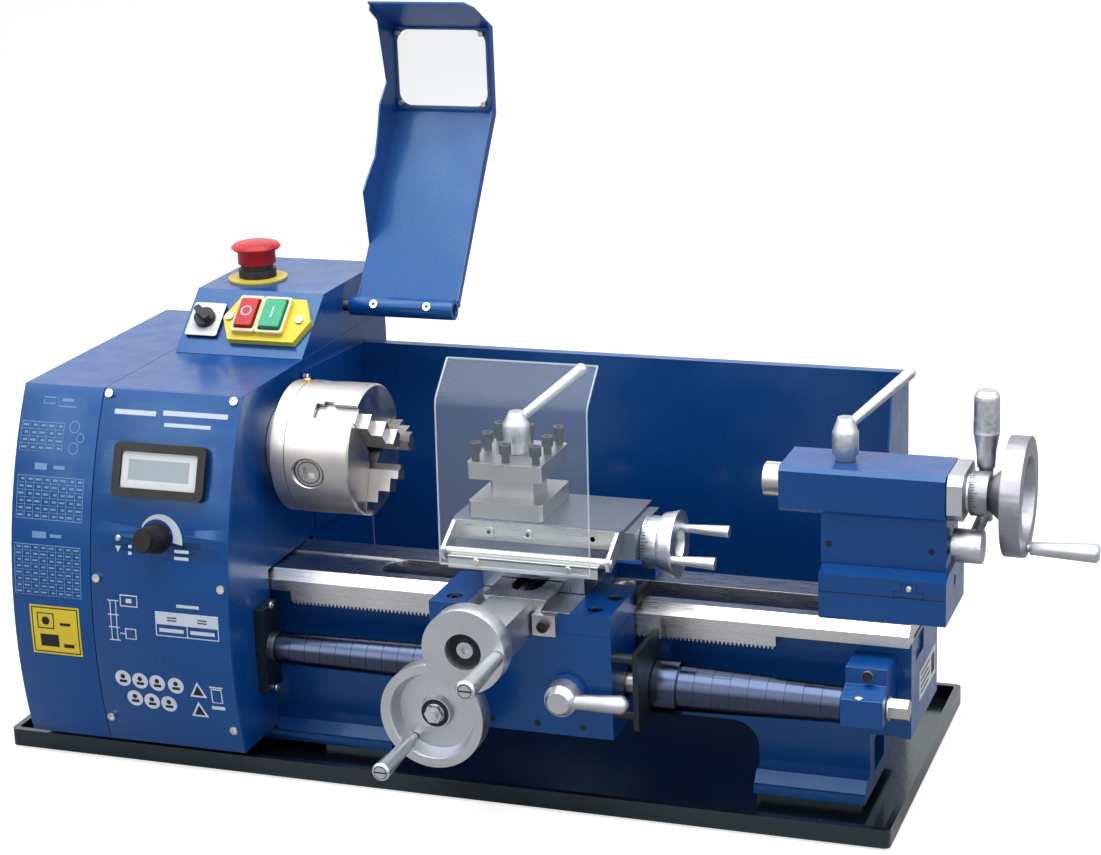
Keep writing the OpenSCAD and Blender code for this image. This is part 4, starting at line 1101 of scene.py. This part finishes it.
def studio_floor():
    depth = 0.002
    mesh = bpy.data.meshes.new("studio_floor")
    form = bmesh.new()
    back, curve = 3.0, 1.2
    profile = [(-6.0, -depth), (back, -depth)]
    for degrees in range(10, 91, 10):
        a = radians(degrees)
        profile.append((back + curve * sin(a), curve * (1.0 - cos(a)) - depth))
    profile.append((back + curve, 6.0))
    rows = [[form.verts.new((x, y, z)) for y, z in profile] for x in (-8.0, 8.0)]
    for i in range(len(profile) - 1):
        form.faces.new((rows[0][i], rows[1][i], rows[1][i + 1], rows[0][i + 1]))
    form.to_mesh(mesh)
    form.free()
    floor = bpy.data.objects.new("studio_floor", mesh)
    bpy.context.scene.collection.objects.link(floor)
    material, tree, shader = new_material("studio_white")
    shader.inputs["Base Color"].default_value = (0.55, 0.55, 0.55, 1.0)
    shader.inputs["Roughness"].default_value = 0.9
    shader.inputs["Emission Color"].default_value = (1.0, 1.0, 1.0, 1.0)
    path = add(tree, "ShaderNodeLightPath")
    seen = ramp(tree, path.outputs["Is Camera Ray"], 0.0, 1.0, 0.0, FLOOR_GLOW)
    place = add(tree, "ShaderNodeNewGeometry")
    split = add(tree, "ShaderNodeSeparateXYZ")
    join(tree, place.outputs["Position"], split.inputs[0])
    wall = ramp(tree, split.outputs["Z"], 0.1, 0.8, 0.0, 1.0)
    mirrored = add(tree, "ShaderNodeMath", operation="MULTIPLY")
    join(tree, path.outputs["Is Glossy Ray"], mirrored.inputs[0])
    join(tree, wall, mirrored.inputs[1])
    glow = add(tree, "ShaderNodeMath", operation="ADD")
    join(tree, seen, glow.inputs[0])
    join(tree, mirrored.outputs[0], glow.inputs[1])
    join(tree, glow.outputs[0], shader.inputs["Emission Strength"])
    mesh.materials.append(material)
    return floor


def soft_lamp(name, place, aim, size, power):
    lamp = bpy.data.lights.new(name, "AREA")
    lamp.shape = "RECTANGLE"
    lamp.size, lamp.size_y = size
    lamp.energy = power
    thing = bpy.data.objects.new(name, lamp)
    thing.location = place
    thing.rotation_euler = (Vector(aim) - Vector(place)).to_track_quat("-Z", "Y").to_euler()
    bpy.context.scene.collection.objects.link(thing)
    return thing


studio_floor()
soft_lamp("top_lamp", (0.1, -0.2, 2.4), (0.0, 0.0, 0.1), (2.6, 1.8), 64.0)
soft_lamp("front_lamp", (-1.4, -2.2, 1.5), (0.0, 0.0, 0.2), (1.4, 1.4), 11.0)
soft_lamp("side_lamp", (2.2, -0.9, 1.2), (0.1, 0.0, 0.2), (1.2, 1.6), 5.0)

world = bpy.data.worlds.new("studio_world")
world.use_nodes = True
bpy.context.scene.world = world
sky = world.node_tree.nodes["Background"]
sky.inputs["Color"].default_value = (1.0, 1.0, 1.0, 1.0)
path = add(world.node_tree, "ShaderNodeLightPath")
coords = add(world.node_tree, "ShaderNodeTexCoord")
height = add(world.node_tree, "ShaderNodeSeparateXYZ")
join(world.node_tree, coords.outputs["Generated"], height.inputs[0])
tent = ramp(world.node_tree, height.outputs["Z"], 0.0, 0.45, TENT_LOW, TENT_HIGH)
mirrored = add(world.node_tree, "ShaderNodeMix", data_type="FLOAT")
mirrored.inputs[2].default_value = DAYLIGHT
join(world.node_tree, path.outputs["Is Glossy Ray"], mirrored.inputs[0])
join(world.node_tree, tent, mirrored.inputs[3])
level = add(world.node_tree, "ShaderNodeMath", operation="MAXIMUM")
join(world.node_tree, path.outputs["Is Camera Ray"], level.inputs[0])
join(world.node_tree, mirrored.outputs[0], level.inputs[1])
join(world.node_tree, level.outputs[0], sky.inputs["Strength"])
bpy.context.scene.view_settings.view_transform = "Standard"
print("studio ready")
